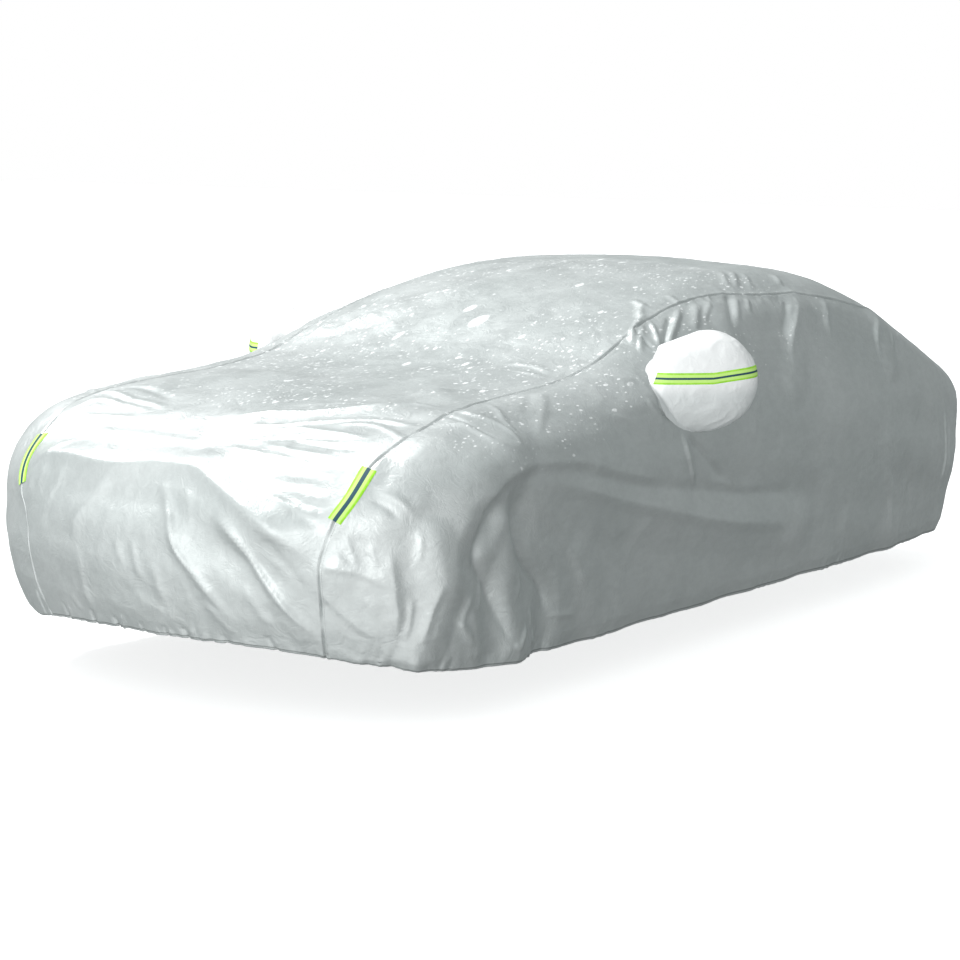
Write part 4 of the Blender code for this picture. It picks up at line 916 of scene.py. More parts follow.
def buildSidePanel(side, word, material):
    stops = panelStops(sidePanel["columnLength"], 0)
    hemX, hemY = (smoothValue(seamRows, name, stops) for name in ("hemX", "hemY"))
    foot = np.stack([hemX, hemY, hemHeight(hemX, hemY)], -1)
    even = np.linspace(0, 1, sidePanel["rows"] + 1)
    up = np.concatenate([even[:-1], 1 - np.array(sidePanel["edgeShares"])])
    rough = foot + up[:, None, None] * (seamPlaces(stops) - foot)
    corner, tailCorner = seamCorners["front"], seamCorners["tail"]
    frontEdge = followHem(seamPlaces(up * corner), corner, 0)
    tailEdge = followHem(seamPlaces(seamEnd - up * (seamEnd - tailCorner)), tailCorner, seamEnd)
    for edge, column, away in ((frontEdge, 0, stops - corner), (tailEdge, -1, tailCorner - stops)):
        fade = np.clip(1 - away / seamCorners["fade"], 0, 1) ** 2
        rough = rough + fade[None, :, None] * (edge - rough[:, column])[:, None]
    base = onForm(rough)
    gap = np.minimum(np.linalg.norm(base - base[-1:], axis=2),
                     np.minimum(np.linalg.norm(base - base[:, :1], axis=2),
                                np.linalg.norm(base - base[:, -1:], axis=2)))
    places, facing = draped(rough * np.array([side, 1, 1]), side, gap)
    places, facing = withTurnIn(places, facing, True)
    above, wide = cutMeasures(places)
    piece = clothMesh(word + "_" + sidePanel["name"], places, facing, cutMap(wide, above),
                      material, inOpening)
    return piece, (float(wide[:, -1].max()), float(above[-1]))


# How far out a ring's points are where they stand off from the side panel.
def offPanel(y, z, standOff):
    starts = np.stack([0 * y, y, z], axis=-1)
    out = reachForm(starts, np.broadcast_to(np.array([1.0, 0, 0]), starts.shape))
    return out[..., 0] + standOff


# The rings of a pocket: a hollow bulge, then its neck, down to the panel and in through it.
def pocketRings(turns, spokes):
    centreX, centreY, centreZ = pocket["centre"]
    outHalf, wideHalf, highHalf = pocket["half"]
    turn, spoke = np.meshgrid(turns, spokes, indexing="ij")
    out = outHalf * np.cos(turn)
    y = centreY + pocket["lean"] * np.maximum(out, 0) + wideHalf * np.sin(turn) * np.cos(spoke)
    z = centreZ + highHalf * np.sin(turn) * np.sin(spoke)
    x = np.maximum(centreX + out, offPanel(y, z, pocket["clear"]))
    bulge = np.stack([x, y, z], axis=-1)
    wide, high = pocket["neck"]
    neckY, neckZ = centreY + wide * np.cos(spokes), centreZ + high * np.sin(spokes)
    neck = [np.stack([offPanel(neckY, neckZ, standOff), neckY, neckZ], axis=-1) for standOff in
            (pocket["clear"] * pocket["clearAtNeck"], pocket["neckOutside"], -pocket["neckInside"])]
    neck[0] = (bulge[-1] + neck[0]) / 2
    return np.concatenate([bulge, neck])


# The sewn edge of a pocket is drawn forwards and down, but its last ring stays in the panel.
def drawEdge(places, turns, spokes):
    inside = places[-1, :, 0].copy()
    level = np.concatenate([np.degrees(turns), pocket["neckTurns"]])[:, None]
    share = np.clip((level - pocket["edgeFrom"]) / pocket["edgeOver"], 0, 1)
    share[-1] = 0
    forwards, down = (smoothValue(pocket["edge"], name, np.degrees(spokes))[None] * share
                      for name in ("forwards", "down"))
    places[..., 1] -= forwards
    places[..., 2] -= down
    eased = np.maximum(places[..., 0] - pocket["edgeInwards"] * forwards,
                       offPanel(places[..., 1], places[..., 2], pocket["neckOutside"]))
    places[..., 0] = np.where(forwards + down > pocket["drawnLeast"], eased, places[..., 0])
    places[-1, :, 0] = inside
    return places


# How far the crumpled cloth of a pocket stands out; it is even behind the strip and at the neck.
def pocketCrumple(places, side):
    loose = np.ones(places.shape[:2])
    loose[-len(pocket["neckTurns"]):] = 0
    band = np.abs(places[..., 2] - pocket["centre"][2] - pocket["bandRise"])
    loose *= np.clip((band - pocket["bandHalf"]) / pocket["bandFade"], pocket["bandLeast"], 1)
    spots = places.reshape(-1, 3) * np.array([side, 1, 1]) + np.array([side, 0, 0])
    waves, reach = pocket["bend"]
    bend = softNoise(spots * waves, 101)[:, None] * reach
    share, waves, seed = pocket["soft"]
    lift = share * softNoise(spots * waves, seed)
    for share, waves, seed in pocket["crumple"]:
        lift += share * crumple(spots * np.array(waves) + bend, seed)
    return pocket["crests"] * (lift - pocket["crestMiddle"]).reshape(loose.shape) * loose


def buildPocket(side, word, material):
    spokes = np.linspace(0, 2 * math.pi, pocket["spokes"] + 1)
    turns = np.radians(np.linspace(pocket["turnFrom"], pocket["turnTo"], pocket["rings"]))
    places = drawEdge(pocketRings(turns, spokes), turns, spokes)
    facing = unit(places - np.array(pocket["centre"]))
    places = places + pocketCrumple(places, side)[..., None] * facing
    places, facing = places * np.array([side, 1, 1]), facing * np.array([side, 1, 1])
    down, wide = cutMeasures(places)
    piece = clothMesh(word + "_pocket_cloth", places, facing, cutMap(wide, down), material)
    piece.visible_glossy = piece.visible_diffuse = False   # no bright patch on the panel beside it
    return piece


# A tape's rounded edges: how far its places stand out, by their share of its width.
def tapeRise(offsets, strip):
    edge = np.minimum(0.5 - np.abs(offsets), strip["roundEdge"]) / strip["roundEdge"]
    return strip["base"] + strip["proud"] * np.sqrt(edge)


# A reflective strip, laid over a front seam.
def buildFrontStrip(side, word, material):
    stops = np.linspace(frontStrip["from"], frontStrip["to"], frontStrip["rows"] + 1)
    line = onForm(seamPlaces(stops) * np.array([side, 1, 1]))
    straight = line[0] + np.linspace(0, 1, len(line))[:, None] * (line[-1] - line[0])
    line = onForm(line + frontStrip["straightened"] * (straight - line))
    way = unit(np.gradient(line, axis=0))
    across = unit(np.cross(formFacing(line), way).mean(axis=0))
    offsets = np.linspace(-0.5, 0.5, frontStrip["across"] + 1)
    rough = line[:, None] + offsets[None, :, None] * frontStrip["width"] * across
    places, facing = draped(rough, 0, frontStrip["evenGap"])
    places = places + tapeRise(offsets, frontStrip)[None, :, None] * facing
    cut = cutMap(offsets + 0.5, cutMeasures(places)[0])
    return clothMesh("front_" + word + "_tape", places, facing, cut, material)


# The strips round the pockets, from degrees round in front to degrees round behind.
pocketStrip = {
    "width": 0.040, "from": -108, "to": 104,
    "rows": 91, "across": 12,
    "climb": 0.022, "climbFrom": -50, "climbOver": 90,   # it ends higher behind than in front
    "axisAft": 0.02, "castFrom": 0.6,
    "base": 0.0008, "proud": 0.0012, "roundEdge": 0.08}


# A reflective strip round a pocket, pressed on from outside.
def buildPocketStrip(side, word, clothPiece, material):
    mesh = clothPiece.data
    tree = BVHTree.FromPolygons([vertex.co[:] for vertex in mesh.vertices],
                                [face.vertices[:] for face in mesh.polygons])
    centreX, centreY, centreZ = pocket["centre"]
    offsets = np.linspace(-0.5, 0.5, pocketStrip["across"] + 1)
    rises = tapeRise(offsets, pocketStrip)
    places, facing = [], []
    for degrees in np.linspace(pocketStrip["from"], pocketStrip["to"], pocketStrip["rows"] + 1):
        turn = math.radians(degrees)
        direction = Vector((side * math.cos(turn), math.sin(turn), 0))
        climbed = min(max((degrees - pocketStrip["climbFrom"]) / pocketStrip["climbOver"], 0), 1)
        middle = centreZ + pocket["bandRise"] + climbed * pocketStrip["climb"]
        row, outs = [], []
        for offset, rise in zip(offsets, rises):
            axis = Vector((side * centreX, centreY + pocketStrip["axisAft"],
                           middle + offset * pocketStrip["width"])) - Vector(toPart)
            start = axis + direction * pocketStrip["castFrom"]
            spot, normal, _, _ = tree.ray_cast(start, -direction)
            if spot is None:
                break
            if normal.dot(direction) < 0:
                normal = -normal
            row.append(spot + normal * float(rise))
            outs.append(normal)
        if len(row) == len(offsets):
            places.append(row)
            facing.append(outs)
    places = np.array(places) + toPart
    cut = cutMap(offsets + 0.5, cutMeasures(places)[0])
    piece = clothMesh(word + "_pocket_tape", places, np.array(facing), cut, material)
    piece.visible_glossy = piece.visible_diffuse = False
    return piece


# Stitches: short, slightly raised lengths of thread in a row on each side of a seam.
stitching = {
    "length": 0.0050, "pitch": 0.0068, "thick": 0.00040,
    "offset": 0.0075,                    # from the seam
    "proud": 0.0004, "plump": 1.4,
    "rowLength": 0.02, "uprightRows": 30}
stitchFaces = np.array([(0, 2, 4), (0, 4, 3), (0, 3, 5), (0, 5, 2),
                        (1, 4, 2), (1, 3, 4), (1, 5, 3), (1, 2, 5)])


# The six corners of each stitch along a line of places.
def stitchRow(line, facing):
    length, pitch, thick = (stitching[name] for name in ("length", "pitch", "thick"))
    way = np.concatenate([[0], np.cumsum(np.linalg.norm(np.diff(line, axis=0), axis=1))])
    at = np.arange(pitch / 2, way[-1] - pitch / 2, pitch)
    middle, ahead, out = (
        np.stack([np.interp(spots, way, values[:, axis]) for axis in range(3)], axis=-1)
        for spots, values in ((at, line), (at + length / 2, line), (at, facing)))
    out = unit(out)
    run = unit(ahead - middle)
    across = np.cross(out, run)
    ends = [middle - run * length / 2, middle + run * length / 2,
            middle + across * thick, middle - across * thick,
            middle + out * thick * stitching["plump"], middle - out * thick]
    return np.stack(ends, axis=1)


def seamStitches(side):
    stops = panelStops(stitching["rowLength"], stitching["uprightRows"])
    line = onForm(seamPlaces(stops) * np.array([side, 1, 1]))
    across = unit(np.cross(formFacing(line), np.gradient(line, axis=0)))
    rows = []
    for step in (-1, 1):
        rough = line + step * stitching["offset"] * across
        places, facing = draped(rough, 0, stitching["offset"])
        rows.append(stitchRow(places + stitching["proud"] * facing, facing))
    return rows


def stitchPiece(name, rows, material):
    sets = np.concatenate(rows)
    points = (sets - toPart).reshape(-1, 3)
    corners = (np.arange(len(sets))[:, None, None] * 6 + stitchFaces).reshape(-1, 3)
    mesh = bpy.data.meshes.new(name)
    mesh.from_pydata(points.tolist(), [], corners.tolist())
    mesh.shade_smooth()
    mesh.materials.append(material)
    print(name + ":", len(sets), "stitches")
    return linked(name, mesh)


# Materials. Small helpers first, so that each finish reads as a list of its layers.
class Finish:
    def __init__(self, name):
        self.material = bpy.data.materials.new(name)
        self.material.use_nodes = True
        self.tree = self.material.node_tree
        self.shader = self.tree.nodes["Principled BSDF"]
        self.places = self.tree.nodes.new("ShaderNodeTexCoord")
        self.spots = self.places.outputs["Object"]
        self.cut = self.tree.nodes.new("ShaderNodeUVMap")
        self.cut.uv_map = "cut"
        self.bumps = None

    def fill(self, socket, value):
        if isinstance(value, bpy.types.NodeSocket):
            self.tree.links.new(value, socket)
        else:
            socket.default_value = value

    # Inputs go by name, or by number as i0, i1 and so on.
    def node(self, kind, settings=(), **links):
        made = self.tree.nodes.new("ShaderNode" + kind)
        for name, value in dict(settings).items():
            setattr(made, name, value)
        for name, value in links.items():
            numbered = name[0] == "i" and name[1:].isdigit()
            self.fill(made.inputs[int(name[1:]) if numbered else name], value)
        return made

    def math(self, operation, a, b=0.0, c=0.0, clamp=False):
        made = self.node("Math", {"operation": operation, "use_clamp": clamp}, i0=a, i1=b, i2=c)
        return made.outputs[0]

    def vector(self, operation, a, **others):
        return self.node("VectorMath", {"operation": operation}, i0=a, **others).outputs[0]

    def part(self, vector, axis):
        return self.node("SeparateXYZ", Vector=vector).outputs[axis]

    def noise(self, scale, detail=3.0, rough=0.5, factors=None, warp=0.0):
        spots = self.vector("MULTIPLY", self.spots, i1=factors) if factors else self.spots
        return self.node("TexNoise", Vector=spots, Scale=scale, Detail=detail, Roughness=rough,
                         Distortion=warp).outputs["Fac"]

    # The object's places, shaken by noise.
    def shaken(self, scale, reach):
        noise = self.node("TexNoise", Vector=self.spots, Scale=scale).outputs["Color"]
        return self.vector("ADD", self.spots, i1=self.vector("SCALE", noise, Scale=reach))

    def remap(self, value, low, high, toLow=0.0, toHigh=1.0):
        return self.node("MapRange", {"interpolation_type": "SMOOTHSTEP"}, Value=value,
                         i1=low, i2=high, i3=toLow, i4=toHigh).outputs["Result"]

    def mix(self, share, a, b):
        return self.node("Mix", {"data_type": "RGBA"}, Factor=share, i6=a, i7=b).outputs[2]

    def bump(self, height, strength, distance):
        made = self.node("Bump", Height=height, Strength=strength, Distance=distance)
        if self.bumps is not None:
            self.tree.links.new(self.bumps, made.inputs["Normal"])
        self.bumps = made.outputs["Normal"]
        self.tree.links.new(self.bumps, self.shader.inputs["Normal"])

    def set(self, **values):
        for name, value in values.items():
            self.fill(self.shader.inputs[name.replace("_", " ")], value)


coverFinish = {
    "light": (0.648, 0.670, 0.666, 1),
    "dark": (0.580, 0.608, 0.603, 1),
    "metallic": 0.55,
    "roughness": (0.35, 0.45), "roughWaves": 7.0,
    "toneWaves": 1.6,                    # broad patches of light and dark, to the metre
    "mottleWaves": 46.0,
    "mottleShades": (0.955, 1.03),
    # strength and depth of the fine creases, the grain and the weave
    "creases": (0.35, -0.010), "creaseWaves": 16.0,
    "grain": (0.16, 0.0010), "grainWaves": 95.0,
    "weave": (0.10, 0.0003), "weaveWaves": 190.0,
    # the sewn line above the hem: how far along the cut cloth it lies, its half width and darkness
    "hemLine": {"along": 0.0365, "half": 0.0030, "dark": 0.55, "centreLength": 6.05,
                "colour": (0.10, 0.11, 0.11, 1)}}
driedSpots = {
    "colour": (0.92, 0.93, 0.93, 1),
    "strength": 0.68,
    "rougher": 0.25,
    "lessMetal": 0.5,
    "shape": (1.0, 0.45, 0.9),           # drops ran down the slopes, so they dried longer than wide
    # where they dry, from little to much: heights above the ground, places behind the nose and
    # towards the tail, how far a face looks up, the front quarters, and patches
    "heights": (0.52, 1.02),
    "behindNose": (-2.05, -1.70),
    "towardsTail": (0.10, 0.70, 1.0, 0.55),
    "upwards": (0.25, 0.70, 0.30, 1.0),
    "quarterFore": (-0.25, -0.85), "quarterHeights": (0.66, 0.86),
    "patchWaves": 2.4, "patches": (0.40, 0.62, 0.35, 1.0),
    # layers of round dots: how many to the metre, their size and share, and a seed
    "layers": [(75.0, 0.36, 0.60, 1), (27.0, 0.25, 0.60, 2), (10.0, 0.125, 0.45, 3)],
    "layerShift": (1.7, 0.9, 2.3),       # times the seed
    "smallest": 0.3,                     # as a share of the size
    "sharpness": 6.0,
    "chance": (0.85, 1.15), "chanceWaves": 55.0,
    # spots that stand out, as places above the ground and radii
    "big": [((0.05, -0.53, 1.16), 0.034), ((-0.06, -0.42, 1.20), 0.022),
            ((0.22, -0.10, 1.27), 0.014), ((0.30, -0.62, 1.12), 0.012),
            ((-0.20, -0.70, 1.09), 0.012), ((0.02, -0.95, 1.03), 0.013),
            ((0.15, 0.34, 1.35), 0.013), ((0.92, -1.35, 0.86), 0.010),
            ((0.90, -0.95, 0.93), 0.008), ((-0.14, -1.42, 0.98), 0.012)],
    "bigStrength": 0.8,
    "bigEdge": 0.8,                      # share of the radius at which it is full
    "shake": (70.0, 0.010)}              # waves to the metre and reach of its uneven outline


# White spots where rain and dust dried on the cloth: one layer of dots.
def dots(finish, scale, size, share, seed):
    shift = tuple(seed * step for step in driedSpots["layerShift"])
    drawn = finish.vector("MULTIPLY", finish.spots, i1=driedSpots["shape"])
    shifted = finish.vector("ADD", drawn, i1=shift)
    cells = finish.node("TexVoronoi", {"feature": "F1"}, Vector=shifted, Scale=scale,
                        Randomness=1.0)
    chance = finish.node("SeparateColor", Color=cells.outputs["Color"])
    least = size * driedSpots["smallest"]
    radius = finish.math("MULTIPLY_ADD", chance.outputs["Green"], size - least, least)
    chosen = finish.math("LESS_THAN", chance.outputs["Red"], share)
    inside = finish.math("SUBTRACT", radius, cells.outputs["Distance"])
    inside = finish.math("MULTIPLY", inside, driedSpots["sharpness"] / size, clamp=True)
    return finish.math("MULTIPLY", inside, chosen)


# On the upper faces and the front quarters, thin on the nose and the tail.
def whereSpotsDry(finish):
    ground = finish.math("ADD", finish.part(finish.spots, "Z"), float(toPart[2]))
    fore = finish.math("ADD", finish.part(finish.spots, "Y"), float(toPart[1]))
    facingUp = finish.part(finish.places.outputs["Normal"], "Z")
    quarter = finish.math("MULTIPLY", finish.remap(fore, *driedSpots["quarterFore"]),
                          finish.remap(ground, *driedSpots["quarterHeights"]))
    where = finish.math("MAXIMUM", finish.remap(facingUp, *driedSpots["upwards"]), quarter)
    patches = finish.noise(driedSpots["patchWaves"], 3.0)
    for value, bounds in ((ground, "heights"), (fore, "behindNose"), (fore, "towardsTail"),
                          (patches, "patches")):
        where = finish.math("MULTIPLY", where, finish.remap(value, *driedSpots[bounds]))
    return where


def allSpots(finish):
    spots = None
    for layer in driedSpots["layers"]:
        made = dots(finish, *layer)
        spots = made if spots is None else finish.math("MAXIMUM", spots, made)
    chance = finish.noise(driedSpots["chanceWaves"], 1.0)
    chance = finish.math("ADD", chance, whereSpotsDry(finish))
    spots = finish.math("MULTIPLY", spots, finish.remap(chance, *driedSpots["chance"]))
    waves, reach = driedSpots["shake"]
    for place, radius in driedSpots["big"]:
        centre = onForm(np.array([place]))[0] - toPart + reach / 2   # the noise is 0.5 on average
        shaken = finish.vector("MULTIPLY", finish.shaken(waves, reach), i1=driedSpots["shape"])
        away = finish.node("VectorMath", {"operation": "DISTANCE"}, i0=shaken,
                           i1=tuple(centre * np.array(driedSpots["shape"]))).outputs["Value"]
        spot = finish.remap(away, radius, radius * driedSpots["bigEdge"], 0.0,
                            driedSpots["bigStrength"])
        spots = finish.math("MAXIMUM", spots, spot)
    return spots


# Darker along the row of sewing above the hem, at both ends of the centre panel's cut.
def sewnHem(finish, colour):
    line = coverFinish["hemLine"]
    along = finish.part(finish.cut.outputs["UV"], "Y")
    along = finish.math("MINIMUM", along, finish.math("SUBTRACT", line["centreLength"], along))
    away = finish.math("ABSOLUTE", finish.math("SUBTRACT", along, line["along"]))
    sewn = finish.remap(away, line["half"] / 2, line["half"], line["dark"], 0.0)
    return finish.mix(sewn, colour, line["colour"])


def makeCoverFinish():
    finish = Finish("silver_cover_cloth")
    broad = finish.remap(finish.noise(coverFinish["toneWaves"], 4.0, 0.55), 0.32, 0.68)
    colour = finish.mix(broad, coverFinish["dark"], coverFinish["light"])
    mottled = finish.noise(coverFinish["mottleWaves"], 5.0, 0.66, factors=driedSpots["shape"])
    shade = finish.remap(mottled, 0.3, 0.7, *coverFinish["mottleShades"])
    colour = finish.vector("SCALE", colour, Scale=shade)
    spots = allSpots(finish)
    colour = finish.mix(finish.math("MULTIPLY", spots, driedSpots["strength"]), colour,
                        driedSpots["colour"])
    rough = finish.noise(coverFinish["roughWaves"], 4.0)
    rough = finish.remap(rough, 0.3, 0.7, *coverFinish["roughness"])
    rougher, lessMetal = driedSpots["rougher"], -driedSpots["lessMetal"]
    finish.set(Base_Color=sewnHem(finish, colour), IOR=1.48,
               Roughness=finish.math("MULTIPLY_ADD", spots, rougher, rough),
               Metallic=finish.math("MULTIPLY_ADD", spots, lessMetal, coverFinish["metallic"]))
    creases = finish.noise(coverFinish["creaseWaves"], 5.0, 0.6, warp=1.1)
    creases = finish.math("ABSOLUTE", finish.math("SUBTRACT", creases, 0.5))
    finish.bump(creases, *coverFinish["creases"])
    finish.bump(finish.noise(coverFinish["grainWaves"], 4.0, 0.65), *coverFinish["grain"])
    warp, weft = (finish.node("TexWave", {"wave_type": "BANDS", "bands_direction": axis},
                              Vector=finish.cut.outputs["UV"], Scale=coverFinish["weaveWaves"],
                              Distortion=0.6).outputs["Fac"] for axis in "XY")
    finish.bump(finish.math("ADD", warp, weft), *coverFinish["weave"])
    return finish.material


pocketFinish = {
    # painted light: the top of each pocket is painted near white where the light falls on it, and
    # the lower part grey, as painted shade
    "above": (0.99, 0.99, 0.99, 1),
    "below": ((0.74, 0.76, 0.76, 1), (0.79, 0.81, 0.81, 1)),
    "fade": (-0.055, 0.015),             # heights above the pocket's middle, over which the painted light of the near-white top fades into the painted shade of the grey below
    "toneWaves": 14.0,
    "metallic": 0.12,
    "roughness": (0.28, 0.42), "roughWaves": 22.0,
    # strength and depth of its crinkles and its grain
    "crinkles": (0.14, -0.003), "crinkleWaves": 26.0, "crinkleWidth": 0.25,
    "crinkleShake": (18.0, 0.06),
    "grain": (0.12, 0.0010), "grainWaves": 120.0}


def makePocketFinish():
    finish = Finish("silver_pocket_cloth")
    tone = finish.remap(finish.noise(pocketFinish["toneWaves"], 4.0), 0.3, 0.7)
    # Painted light and shade: near white above the pocket's middle, where the light falls, grey
    # below it
    low, high = (pocket["centre"][2] - float(toPart[2]) + rise for rise in pocketFinish["fade"])
    above = finish.remap(finish.part(finish.spots, "Z"), low, high)
    colour = finish.mix(above, finish.mix(tone, *pocketFinish["below"]), pocketFinish["above"])
    rough = finish.noise(pocketFinish["roughWaves"], 4.0)
    rough = finish.remap(rough, 0.3, 0.7, *pocketFinish["roughness"])
    finish.set(Base_Color=colour, Roughness=rough, Metallic=pocketFinish["metallic"], IOR=1.5)
    crinkle = finish.node("TexVoronoi", {"feature": "DISTANCE_TO_EDGE"},
                          Vector=finish.shaken(*pocketFinish["crinkleShake"]),
                          Scale=pocketFinish["crinkleWaves"])
    crinkle = finish.remap(crinkle.outputs["Distance"], 0.0, pocketFinish["crinkleWidth"])
    finish.bump(crinkle, *pocketFinish["crinkles"])
    finish.bump(finish.noise(pocketFinish["grainWaves"], 4.0, 0.65), *pocketFinish["grain"])
    return finish.material


tapeFinish = {
    "lime": ((0.33, 0.74, 0.035, 1), (0.44, 0.86, 0.07, 1)),
    "pale": (0.62, 0.93, 0.25, 1),       # along the edges
    "paleFrom": 0.40, "paleTo": 0.30,
    "roughness": 0.55,
    "line": (0.030, 0.085, 0.125, 1),
    "lineHalf": {"front": 0.155, "pocket": 0.10},
    "toneWaves": 60.0,
    # strength and depth of its honeycomb and of the uneven cloth below
    "honeycomb": (0.25, 0.0006), "honeycombCells": 420.0, "honeycombUneven": 0.25,
    "uneven": (0.25, 0.0015), "unevenWaves": 45.0}


# Fluorescent tape with a dark line along its middle; across the tape, the cut runs from 0 to 1.
def makeTapeFinish(place):
    finish = Finish(place + "_tape")
    dark = tapeFinish["lineHalf"][place]
    across = finish.part(finish.cut.outputs["UV"], "X")
    away = finish.math("ABSOLUTE", finish.math("SUBTRACT", across, 0.5))
    tone = finish.remap(finish.noise(tapeFinish["toneWaves"], 4.0), 0.35, 0.7)
    lime = finish.mix(tone, *tapeFinish["lime"])
    edge = finish.remap(away, tapeFinish["paleFrom"], tapeFinish["paleTo"])
    lime = finish.mix(edge, lime, tapeFinish["pale"])
    colour = finish.mix(finish.remap(away, dark, dark * 0.8), lime, tapeFinish["line"])
    finish.set(Base_Color=colour, Roughness=tapeFinish["roughness"], Metallic=0.0, IOR=1.33)
    honeycomb = finish.node("TexVoronoi", {"feature": "DISTANCE_TO_EDGE"}, Vector=finish.spots,
                            Scale=tapeFinish["honeycombCells"],
                            Randomness=tapeFinish["honeycombUneven"]).outputs["Distance"]
    finish.bump(honeycomb, *tapeFinish["honeycomb"])
    finish.bump(finish.noise(tapeFinish["unevenWaves"], 3.0), *tapeFinish["uneven"])
    return finish.material


threadFinish = {"dark": (0.20, 0.22, 0.22, 1), "light": (0.33, 0.35, 0.35, 1), "roughness": 0.7,
                "twist": (0.4, 0.0003), "twistWaves": 260.0}


def makeThreadFinish():
    finish = Finish("grey_thread")
    twist = finish.node("TexWave", {"wave_type": "BANDS", "bands_direction": "DIAGONAL"},
                        Vector=finish.spots, Scale=threadFinish["twistWaves"])
    colour = finish.mix(twist.outputs["Fac"], threadFinish["dark"], threadFinish["light"])
    finish.set(Base_Color=colour, Roughness=threadFinish["roughness"], Metallic=0.0)
    finish.bump(twist.outputs["Fac"], *threadFinish["twist"])
    return finish.material


def makeFloorFinish(grey, glow):
    finish = Finish("pale_floor")
    finish.set(Base_Color=(grey, grey, grey, 1), Roughness=0.9, Metallic=0.0,
               Emission_Color=(1, 1, 1, 1), Emission_Strength=glow)
    return finish.material


coverCloth = makeCoverFinish()
pocketCloth = makePocketFinish()
frontTape = makeTapeFinish("front")
pocketTape = makeTapeFinish("pocket")
thread = makeThreadFinish()
print("finishes made")

centre, centreFlat = buildCentrePanel(coverCloth)
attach(centre, "root")
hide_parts("centre_panel")

stitches = []
for side, word in ((1, "left"), (-1, "right")):
    panel, sideFlat = buildSidePanel(side, word, coverCloth)
    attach(panel, "root")
    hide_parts(word + "_side_panel")
    cup = buildPocket(side, word, pocketCloth)
    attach(cup, "root")
    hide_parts(word + "_mirror_pocket")
    strip = buildFrontStrip(side, word, frontTape)
    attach(strip, "root")
    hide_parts("front_" + word + "_strip")
    band = buildPocketStrip(side, word, cup, pocketTape)
    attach(band, "root")
    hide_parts(word + "_pocket_strip")
    stitches += seamStitches(side)

sewing = stitchPiece("seam_stitches", stitches, thread)
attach(sewing, "root")

# The flat sizes to which the cloth was cut.
print("largest sizes made:", np.round(centreFlat, 3), np.round(sideFlat, 3))

# Floor, light and camera. Directions point from the cover to each light.
studio = {
    "floorHalf": 60.0, "floorColour": 0.60, "floorGlow": 0.75,
    "keyDirection": (-0.55, 0.03, 0.83), "keyStrength": 2.05, "keyAngle": 12,
    "fillDirection": (0.17, -0.98, -0.10), "fillStrength": 1.75, "fillAngle": 120,
    "cornerDirection": (0.12, -0.98, 0.13), "cornerStrength": 0.68, "cornerAngle": 34,
    "boxPlace": (-2.2, -2.6, 2.6), "boxSize": (3.0, 1.6), "boxAim": (0.0, -1.9, -0.6),
    "boxPower": 40,
    # light from all round, from the dark side (0) to the bright side (1)
    "brightTowards": (-0.35, -0.45, 0.82),
    "surround": [(0.0, 0.19), (0.09, 0.205), (0.14, 0.24), (0.19, 0.30), (0.27, 0.38),
                 (0.37, 0.33), (0.47, 0.24), (0.60, 0.50), (0.70, 0.51), (1.0, 0.74)],
    "tint": (0.925, 1.0, 1.0)}


# A plain floor with a glow of its own, which neither lights the cloth nor shows in its sheen.
def makeFloor():
    half = studio["floorHalf"]
    corners = [(-half, -half, 0), (half, -half, 0), (half, half, 0), (-half, half, 0)]
    mesh = bpy.data.meshes.new("studio_floor")
    mesh.from_pydata(corners, [], [(0, 1, 2, 3)])
    mesh.materials.append(makeFloorFinish(studio["floorColour"], studio["floorGlow"]))
    made = linked("studio_floor", mesh)
    made.location = (0, 0, -float(toPart[2]))
    made.visible_diffuse = made.visible_glossy = False
    return made


def addLight(name, kind, towards, **settings):
    data = bpy.data.lights.new(name, kind)
    for key, value in settings.items():
        setattr(data, key, value)
    lamp = linked(name, data)
    lamp.rotation_mode = "QUATERNION"
    lamp.rotation_quaternion = Vector(towards).to_track_quat("Z", "Y")
    return lamp


def makeLights():
    for name in ("key", "fill", "corner"):
        addLight(name + "_light", "SUN", studio[name + "Direction"],
                 energy=studio[name + "Strength"], angle=math.radians(studio[name + "Angle"]))
    towards = Vector(studio["boxPlace"]) - Vector(studio["boxAim"])
    wide, deep = studio["boxSize"]
    box = addLight("overhead_box", "AREA", towards, energy=studio["boxPower"], shape="RECTANGLE",
                   size=wide, size_y=deep)
    box.location = studio["boxPlace"]


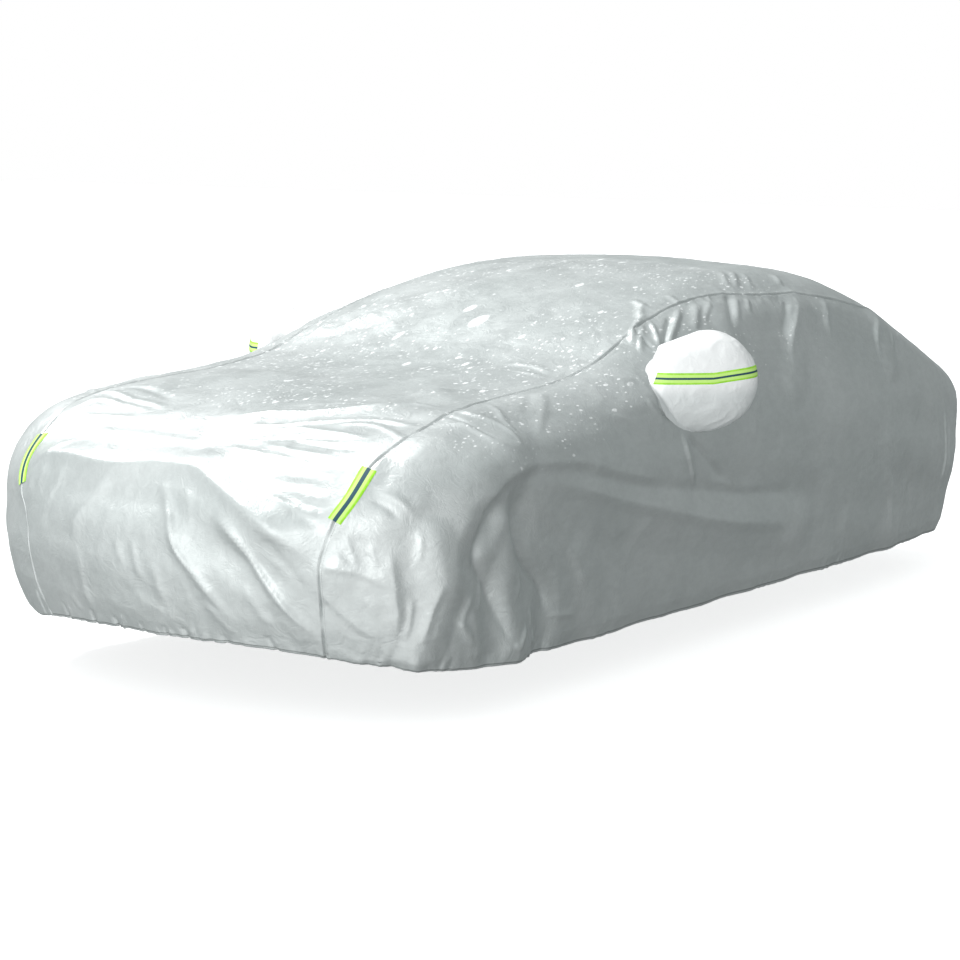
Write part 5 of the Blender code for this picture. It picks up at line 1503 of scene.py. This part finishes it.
# Soft light from all round; the camera sees plain white instead.
def makeSurround():
    world = bpy.data.worlds.new("studio")
    bpy.context.scene.world = world
    world.use_nodes = True
    nodes, links = world.node_tree.nodes, world.node_tree.links
    place = nodes.new("ShaderNodeTexCoord")
    lean = nodes.new("ShaderNodeVectorMath")
    lean.operation = "DOT_PRODUCT"
    lean.inputs[1].default_value = studio["brightTowards"]
    links.new(place.outputs["Generated"], lean.inputs[0])
    share = nodes.new("ShaderNodeMapRange")
    share.inputs["From Min"].default_value = -1
    links.new(lean.outputs["Value"], share.inputs["Value"])
    ramp = nodes.new("ShaderNodeValToRGB")
    links.new(share.outputs["Result"], ramp.inputs["Fac"])
    while len(ramp.color_ramp.elements) < len(studio["surround"]):
        ramp.color_ramp.elements.new(0.5)
    for element, (at, glow) in zip(ramp.color_ramp.elements, studio["surround"]):
        element.position = at
        element.color = (*(glow * part for part in studio["tint"]), 1)
    background = nodes["Background"]
    links.new(ramp.outputs["Color"], background.inputs["Color"])
    seen = nodes.new("ShaderNodeBackground")
    seen.inputs["Color"].default_value = (1, 1, 1, 1)
    rays = nodes.new("ShaderNodeLightPath")
    choose = nodes.new("ShaderNodeMixShader")
    links.new(rays.outputs["Is Camera Ray"], choose.inputs["Fac"])
    links.new(background.outputs["Background"], choose.inputs[1])
    links.new(seen.outputs["Background"], choose.inputs[2])
    links.new(choose.outputs["Shader"], nodes["World Output"].inputs["Surface"])


# Place above the ground, angles in degrees, and focal length and lift in units of the frame.
view = {"place": (5.162, -8.276, 1.819), "yaw": 33.32, "pitch": 7.61, "roll": 1.04,
        "focal": 2515.3 / 960, "lift": -3.9 / 960, "sensor": 36}


def makeCamera():
    yaw, pitch, roll = (math.radians(view[name]) for name in ("yaw", "pitch", "roll"))
    forward = Vector((-math.sin(yaw) * math.cos(pitch), math.cos(yaw) * math.cos(pitch),
                      -math.sin(pitch)))
    level = Vector((math.cos(yaw), math.sin(yaw), 0))
    rise = level.cross(forward)
    right = level * math.cos(roll) + rise * math.sin(roll)
    upward = -level * math.sin(roll) + rise * math.cos(roll)
    camera = linked("camera", bpy.data.cameras.new("camera"))
    camera.data.sensor_width = view["sensor"]
    camera.data.lens = view["sensor"] * view["focal"]
    camera.data.shift_y = view["lift"]
    turn = Matrix((right, upward, -forward)).transposed().to_4x4()
    camera.matrix_world = Matrix.Translation(Vector(view["place"]) - Vector(toPart)) @ turn
    bpy.context.scene.camera = camera


floor = makeFloor()
makeLights()
makeSurround()
makeCamera()
bpy.context.scene.view_settings.view_transform = "Standard"
bpy.context.scene.cycles.use_denoising = True
print("studio made")
